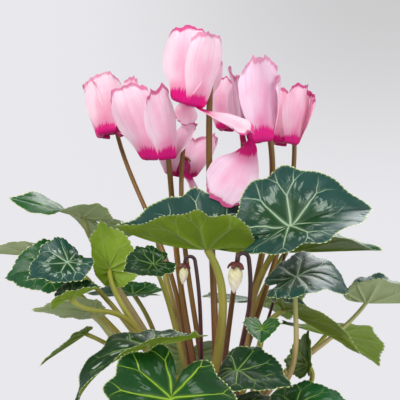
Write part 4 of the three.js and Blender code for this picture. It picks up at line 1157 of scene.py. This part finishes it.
def stalk_path(flower, dome):
    """Up from the tuber, over in a hook, and down onto the calyx."""
    up, _, _ = bloom_frame(flower)
    skin, leaves_way = crown(flower["foot"])
    aside = bearing_in(flower, flower["hook"])
    radius = flower.get("hook_radius", STALK["hook"])
    seat = np.array(flower["at"], float) + up * (dome["centre"] + dome["radius"] + GAP + CALYX["thick"] / 2)
    centre = seat + up * STALK["rise"] + aside * radius
    turn = np.radians(np.linspace(STALK["over"], 0, 19))[:, None]
    over = centre - aside * radius * np.cos(turn) + up * radius * np.sin(turn)
    end_turn = math.radians(STALK["over"])
    head_way = -up * math.cos(end_turn) - aside * math.sin(end_turn)
    leg = reach(skin, leaves_way, over[0], head_way, 30, **bent(flower))
    return np.concatenate([[skin - leaves_way * (SOCKET - GAP)], leg[:-1], over, [seat]])


def stalk_pieces(name, flower, dome, tints):
    """A flower's stalk, and the calyx at its end."""
    path = stalk_path(flower, dome)
    s = np.linspace(0, 1, len(path))
    stout = flower.get("stout", 1)
    radii = (STALK["foot"] + (STALK["neck"] - STALK["foot"]) * s) * stout
    stem_piece(name, path, radii, tints, [name])
    calyx_piece(name + "_calyx", flower, dome, (tints[0], tints[1]))


def bud_piece(number, bud):
    """A furled bud: a spindle of five petals wound in a spiral, which narrows to a twisted tip."""
    name = "bud_%d" % number
    rng = seeded(name)
    up, _, _ = bloom_frame(bud)
    rows, sides = 48, 60
    windings, fold_turn = 2.6, 150
    s = np.linspace(0.02, 0.985, rows)[:, None]
    turn = 360 * np.arange(sides)[None] / sides
    wide = bud["radius"] * np.sin(np.pi * s ** BUD["high"]) ** BUD["full"]
    wound = turn + BUD["turn"] * windings * s
    fold = np.abs(np.sin(np.radians(2.5 * (turn - fold_turn * s)))) ** 0.5
    radius = wide * (0.9 + 0.12 * fold)
    ring = bearing_in(bud, wound)
    points = np.array(bud["at"], float) - up * (bud["length"] * s)[..., None] + radius[..., None] * ring
    tube_points, faces, _ = tube_mesh(points)
    flat = np.stack(np.broadcast_arrays(turn / 360, s), -1).reshape(-1, 2)
    uv = np.concatenate([flat, [[0.5, 0]], [[0.5, 1]]])
    faces = [face[::-1] for face in faces]
    values = dict(seed=np.full(len(tube_points), rng.uniform(0, 40)))
    mesh_piece(name + "_petals", tube_points, faces, [BUDDED], [name], uv, values=values)


# ---------------------------------------------------------------- pot, soil and tuber

POT_EDGE = 50  # degrees: a sharper turn of the pot's wall stays an edge


def pot_radius(z):
    """The outside of the pot's cone at a height, in a straight line from the foot to the collar."""
    return POT["foot"] + (POT["rim"] - POT["step"] - POT["foot"]) * (z / (POT["height"] - POT["collar"]))


def pot_piece():
    """The pot's wall and floor: a profile with small rounds, turned round the upright axis."""
    rim, height, wall, floor = (POT[key] for key in ("rim", "height", "wall", "floor"))
    shoulder = height - POT["collar"]
    edge = rim + POT["flare"]
    foot = POT["foot"]
    outside = [(0.02, 0.9), (foot - 9, 0.9), (foot - 8.2, 0.05), (foot - 0.8, 0.0), (foot, 0.5)]
    outside += [(pot_radius(z), z) for z in np.linspace(2, shoulder - 1.2, 16)]
    collar = [(rim - 1.2, shoulder - 0.4), (rim - 0.2, shoulder + 0.3), (rim, shoulder + 1)]
    collar += [(rim + POT["flare"] * share, shoulder + 1 + (height - shoulder - 4.6) * share)
               for share in (0.25, 0.5, 0.75, 1)]
    bead = [(edge + 0.15, height - 3.2), (edge + 0.25, height - 2), (edge + 0.15, height - 0.9),
            (edge - 0.5, height - 0.1), (edge - 1.2, height), (edge - wall, height - 0.4)]
    inside = [(edge - wall - 0.1, height - 2), (rim - wall, shoulder + 1.4),
              (pot_radius(shoulder) - wall, shoulder - 1)]
    inside += [(pot_radius(z) - wall, z) for z in np.linspace(shoulder - 4, floor + 1, 10)]
    inside += [(pot_radius(floor) - wall - 1, floor), (0.02, floor)]
    profile = np.array(outside + collar + bead + inside)
    sides = 144
    turn = 2 * np.pi * np.arange(sides) / sides
    across, upright = profile[:, 0, None], profile[:, 1, None]
    points = np.stack(np.broadcast_arrays(across * np.cos(turn), across * np.sin(turn), upright), -1)
    points = points.reshape(-1, 3)
    faces = grid_faces(len(profile), sides, wrap=True)
    last = (len(profile) - 1) * sides
    faces += [list(range(sides))[::-1], list(range(last, last + sides))]
    return mesh_piece("nursery_pot", points, faces, [POT_PLASTIC], ["pot"], crease=POT_EDGE)


def drain_cutter():
    """Six upright round bars, in a ring, that pass through the pot's floor."""
    points, faces = [], []
    sides, past = 40, 3
    turn = 2 * np.pi * np.arange(sides) / sides
    for i in range(DRAIN["holes"]):
        centre = level(360 * i / DRAIN["holes"]) * DRAIN["ring"]
        for z in (-past, POT["floor"] + past):
            points += [(centre[0] + DRAIN["radius"] * c, centre[1] + DRAIN["radius"] * s, z)
                       for c, s in zip(np.cos(turn), np.sin(turn))]
        start = 2 * sides * i
        low = start + np.arange(sides)
        faces += band(low, low + sides) + [low[::-1], low + sides]
    mesh = bpy.data.meshes.new("drain_cutter")
    mesh.from_pydata((np.array(points) * MM).tolist(), [], [list(map(int, f)) for f in faces])
    mesh.update()
    cutter = bpy.data.objects.new("drain_cutter", mesh)
    bpy.context.scene.collection.objects.link(cutter)
    return cutter


def cut_drains(pot):
    """Cuts the drain holes, and keeps the result as the pot's own mesh."""
    cutter = drain_cutter()
    cut = pot.modifiers.new("drains", "BOOLEAN")
    cut.operation, cut.solver, cut.object = "DIFFERENCE", "EXACT", cutter
    graph = bpy.context.evaluated_depsgraph_get()
    made = bpy.data.meshes.new_from_object(pot.evaluated_get(graph))
    pot.modifiers.remove(cut)
    pot.data = made
    made.set_sharp_from_angle(angle=math.radians(POT_EDGE))
    bpy.data.objects.remove(cutter)


def soil_height(x, y):
    """The soil's top before its crumbs: two products and a difference of slow waves."""
    lumps = np.sin(0.31 * x + 0.9) * np.sin(0.27 * y + 2.1) + 0.5 * np.sin(0.53 * x - 0.47 * y)
    return SOIL["top"] + SOIL["lump"] * lumps


def crumbled(x, y):
    """The soil's top with crumbs of three sizes: smooth noise at 6.5, 3.1 and 1.5 mm."""
    fine = 0.9 * lattice_noise(x / 3.1 + 7, y / 3.1 + 3, 5) + 0.6 * lattice_noise(x / 1.5, y / 1.5, 6)
    return soil_height(x, y) + 1.7 * (lattice_noise(x / 6.5, y / 6.5, 4) - 0.5) + fine - 0.7


def soil_radius(z):
    """How far the soil reaches at a height, a little inside the pot's wall."""
    return pot_radius(z) - POT["wall"] - GAP - SOIL["inset"]


def soil_piece():
    """The soil: a crumbled top on rings round the axis, and a straight side down to a flat base."""
    rows, count = 70, 240
    radius = np.linspace(0.3, soil_radius(SOIL["top"]), rows)[:, None]
    turn = 2 * np.pi * np.arange(count)[None] / count
    x, y = radius * np.cos(turn), radius * np.sin(turn)
    top = np.stack([x, y, crumbled(x, y)], -1).reshape(-1, 3)
    bottom = POT["floor"] + GAP
    foot = soil_radius(bottom)
    low = np.stack(np.broadcast_arrays(foot * np.cos(turn[0]), foot * np.sin(turn[0]), bottom), -1)
    points = np.concatenate([top, low, [[0, 0, crumbled(0.0, 0.0)]], [[0, 0, bottom]]])
    faces = grid_faces(rows, count, wrap=True)
    edge = (rows - 1) * count + np.arange(count)
    base = rows * count + np.arange(count)
    faces += band(edge, base)
    hub, floor = len(points) - 2, len(points) - 1
    faces += [[hub, j, (j + 1) % count] for j in range(count)]
    faces += [[floor, base[(j + 1) % count], base[j]] for j in range(count)]
    values = dict(crumb=np.zeros(len(points)))
    mesh_piece("potting_soil", points, faces, [COMPOST], ["soil"], values=values)


def crumbs_piece():
    """Loose crumbs of compost: small distorted octahedra, each with its faces split once."""
    rng = np.random.default_rng(11)
    corners = np.array([[1, 0, 0], [-1, 0, 0], [0, 1, 0], [0, -1, 0], [0, 0, 1], [0, 0, -1]], float)
    sides = [[0, 2, 4], [2, 1, 4], [1, 3, 4], [3, 0, 4], [2, 0, 5], [1, 2, 5], [3, 1, 5], [0, 3, 5]]
    points, faces, edges = list(corners), [], {}

    def halfway(a, b):
        """The point midway between two corners, made once and pushed out to the ball."""
        key = (min(a, b), max(a, b))
        if key not in edges:
            edges[key] = len(points)
            points.append(unit(points[a] + points[b]))
        return edges[key]

    for a, b, c in sides:
        ab, bc, ca = halfway(a, b), halfway(b, c), halfway(c, a)
        faces += [[a, ab, ca], [ab, b, bc], [ca, bc, c], [ab, bc, ca]]
    shape, faces = np.array(points), np.array(faces)
    count = 620
    bedded = 0.15
    distance = np.sqrt(rng.uniform(0.05, 1, count)) * (pot_radius(SOIL["top"]) - POT["wall"] - 3)
    bearing = rng.uniform(0, 2 * np.pi, count)
    size = rng.gamma(3.0, 0.28, count).clip(0.3, 2.0)
    x, y = distance * np.cos(bearing), distance * np.sin(bearing)
    stretch = rng.uniform(0.55, 1.3, (count, 1, 3))
    rough = 1 + rng.uniform(-0.28, 0.28, (count, len(shape), 1))
    spin = rng.uniform(0, 2 * np.pi, count)
    local = shape[None] * rough * stretch * size[:, None, None]
    turned_x = local[..., 0] * np.cos(spin)[:, None] - local[..., 1] * np.sin(spin)[:, None]
    turned_y = local[..., 0] * np.sin(spin)[:, None] + local[..., 1] * np.cos(spin)[:, None]
    centre = np.stack([x, y, crumbled(x, y) + bedded * size], -1)[:, None]
    placed = np.stack([turned_x, turned_y, local[..., 2]], -1) + centre
    all_faces = (faces[None] + (np.arange(count) * len(shape))[:, None, None]).reshape(-1, 3)
    mesh_piece("soil_crumbs", placed.reshape(-1, 3), all_faces.tolist(), [COMPOST],
               values=dict(crumb=np.ones(placed.shape[0] * placed.shape[1])))


def tuber_piece():
    """A flattened ball, its radius raised and lowered by smooth noise of two sizes."""
    rows, count = 60, 120
    lumpy = 0.035
    polar = np.linspace(0.02, np.pi - 0.02, rows)[:, None]
    turn = 2 * np.pi * np.arange(count)[None] / count
    x, y, z = np.sin(polar) * np.cos(turn), np.sin(polar) * np.sin(turn), np.cos(polar) * np.ones_like(turn)
    skin = lattice_noise(x * 3.2 + z * 2 + 9, y * 3.2 - z * 2 + 9, 21) - 0.5
    skin = skin + 0.5 * (lattice_noise(x * 9 + z * 7 + 30, y * 9 - z * 5 + 30, 22) - 0.5)
    scale = 1 + lumpy * skin
    radius, half_height = TUBER["radius"], TUBER["half_height"]
    height = TUBER["centre"] + half_height * scale * z
    points = np.stack([radius * scale * x, radius * scale * y, height], -1).reshape(-1, 3)
    faces = grid_faces(rows, count, wrap=True)
    last = (rows - 1) * count
    faces += [list(range(count)), list(range(last, last + count))[::-1]]
    mesh_piece("tuber_body", points, faces, [TUBER_SKIN], ["tuber"])


# ---------------------------------------------------------------- all pieces

for leaf_name, leaf_shape in LEAVES.items():
    blade_piece(leaf_name, leaf_shape)
    petiole_piece(leaf_name, leaf_shape)
for bloom_number, bloom_shape in BLOOMS.items():
    petals_piece(bloom_number, bloom_shape)
    throat_piece(bloom_number, bloom_shape)
    stalk_pieces("stalk_%d" % bloom_number, bloom_shape, bloom_dome(), STALK_TINTS)
for bud_number, bud_shape in BUDS.items():
    bud_piece(bud_number, bud_shape)
    stalk_pieces("bud_stalk_%d" % bud_number, bud_shape, bud_dome(bud_shape), DARK_TINTS)
cut_drains(pot_piece())
soil_piece()
crumbs_piece()
tuber_piece()

# ---------------------------------------------------------------- studio

BACKGROUND = paint(233, 232, 236)
CORNER = paint(203, 203, 204)
FLOOR = dict(radius=6, below=0.0002, sides=96, paper=paint(232, 231, 234), grain=paint(220, 219, 222))
DAYLIGHT = dict(colour=(0.93, 0.96, 1.0, 1.0), strength=0.55)


def floor_piece():
    """A pale round floor that fades into the colour of the backdrop, so that no horizon shows."""
    f = Finish("floor_paper")
    place = f.place()
    x, y, _ = f.split(place)
    away = ((x * x + y * y) ** 0.5).over(0.3, 1.1)
    grain = f.noise(place, 300.0, 3.0)
    colour = f.mix(grain * 0.05, FLOOR["paper"], FLOOR["grain"])
    paper = f.node("BsdfPrincipled", inputs={"Base Color": colour, "Roughness": 0.8})
    glow = f.node("Emission", inputs={"Color": BACKGROUND, "Strength": 1.0})
    f.node("OutputMaterial", inputs={"Surface": f.node("MixShader", inputs={0: away, 1: paper, 2: glow})})
    mesh = bpy.data.meshes.new("floor")
    turn = 2 * np.pi * np.arange(FLOOR["sides"]) / FLOOR["sides"]
    x, y = FLOOR["radius"] * np.cos(turn), FLOOR["radius"] * np.sin(turn)
    rim = np.stack([x, y, np.full_like(x, -FLOOR["below"])], -1)
    mesh.from_pydata(rim.tolist(), [], [list(range(FLOOR["sides"]))])
    mesh.materials.append(f.material)
    floor = bpy.data.objects.new("floor", mesh)
    bpy.context.scene.collection.objects.link(floor)


def backdrop():
    """An even studio backdrop, a little darker up and to the right."""
    world = bpy.data.worlds.new("studio")
    world.use_nodes = True
    bpy.context.scene.world = world
    tree = world.node_tree
    tree.nodes.clear()
    f = Finish.__new__(Finish)
    f.tree = tree
    x, _, z = f.split(f.node("TexCoord", output="Generated"))
    shade = x.over(-0.09, 0.1) * z.over(-0.02, 0.12)
    seen = f.node("Background", inputs={"Color": f.mix(shade, BACKGROUND, CORNER), "Strength": 1.0})
    light = f.node("Background", inputs={"Color": DAYLIGHT["colour"], "Strength": DAYLIGHT["strength"]})
    direct = f.node("LightPath", output="Is Camera Ray")
    f.node("OutputWorld", inputs={"Surface": f.node("MixShader", inputs={0: direct, 1: light, 2: seen})})


def lamp(name, place, aim, size, power, colour):
    """A soft round light at a place, turned so that it looks at its aim."""
    light = bpy.data.lights.new(name, "AREA")
    light.shape, light.size, light.energy, light.color = "DISK", size, power, colour
    lamp_object = bpy.data.objects.new(name, light)
    lamp_object.location = place
    lamp_object.rotation_euler = (Vector(aim) - Vector(place)).to_track_quat("-Z", "Y").to_euler()
    bpy.context.scene.collection.objects.link(lamp_object)


EYE = (-0.009, -1.1, 0.246)  # level with the top of the leaves, on the side that faces the room
VIEW_WIDTH = 0.24  # the width in view at the pot's axis


def camera():
    """A level camera whose lens takes in VIEW_WIDTH at the pot's axis."""
    made = bpy.data.cameras.new("camera")
    made.sensor_width = 36
    made.lens = made.sensor_width * -EYE[1] / VIEW_WIDTH
    made.clip_start, made.clip_end = 0.05, 30
    camera_object = bpy.data.objects.new("camera", made)
    camera_object.location = EYE
    camera_object.rotation_euler = (math.pi / 2, 0, 0)
    bpy.context.scene.collection.objects.link(camera_object)
    bpy.context.scene.camera = camera_object


floor_piece()
backdrop()
lamp("key_light", (-0.9, -1.1, 1.5), (0, 0, 0.22), 0.9, 25, (1.0, 0.985, 0.96))
lamp("fill_light", (1.1, -1.2, 0.6), (0, 0, 0.22), 1.2, 11, (0.95, 0.97, 1.0))
lamp("back_light", (0.4, 1.2, 1.3), (0, 0, 0.24), 0.9, 14, (0.97, 0.98, 1.0))
camera()
bpy.context.scene.view_settings.view_transform = "Standard"
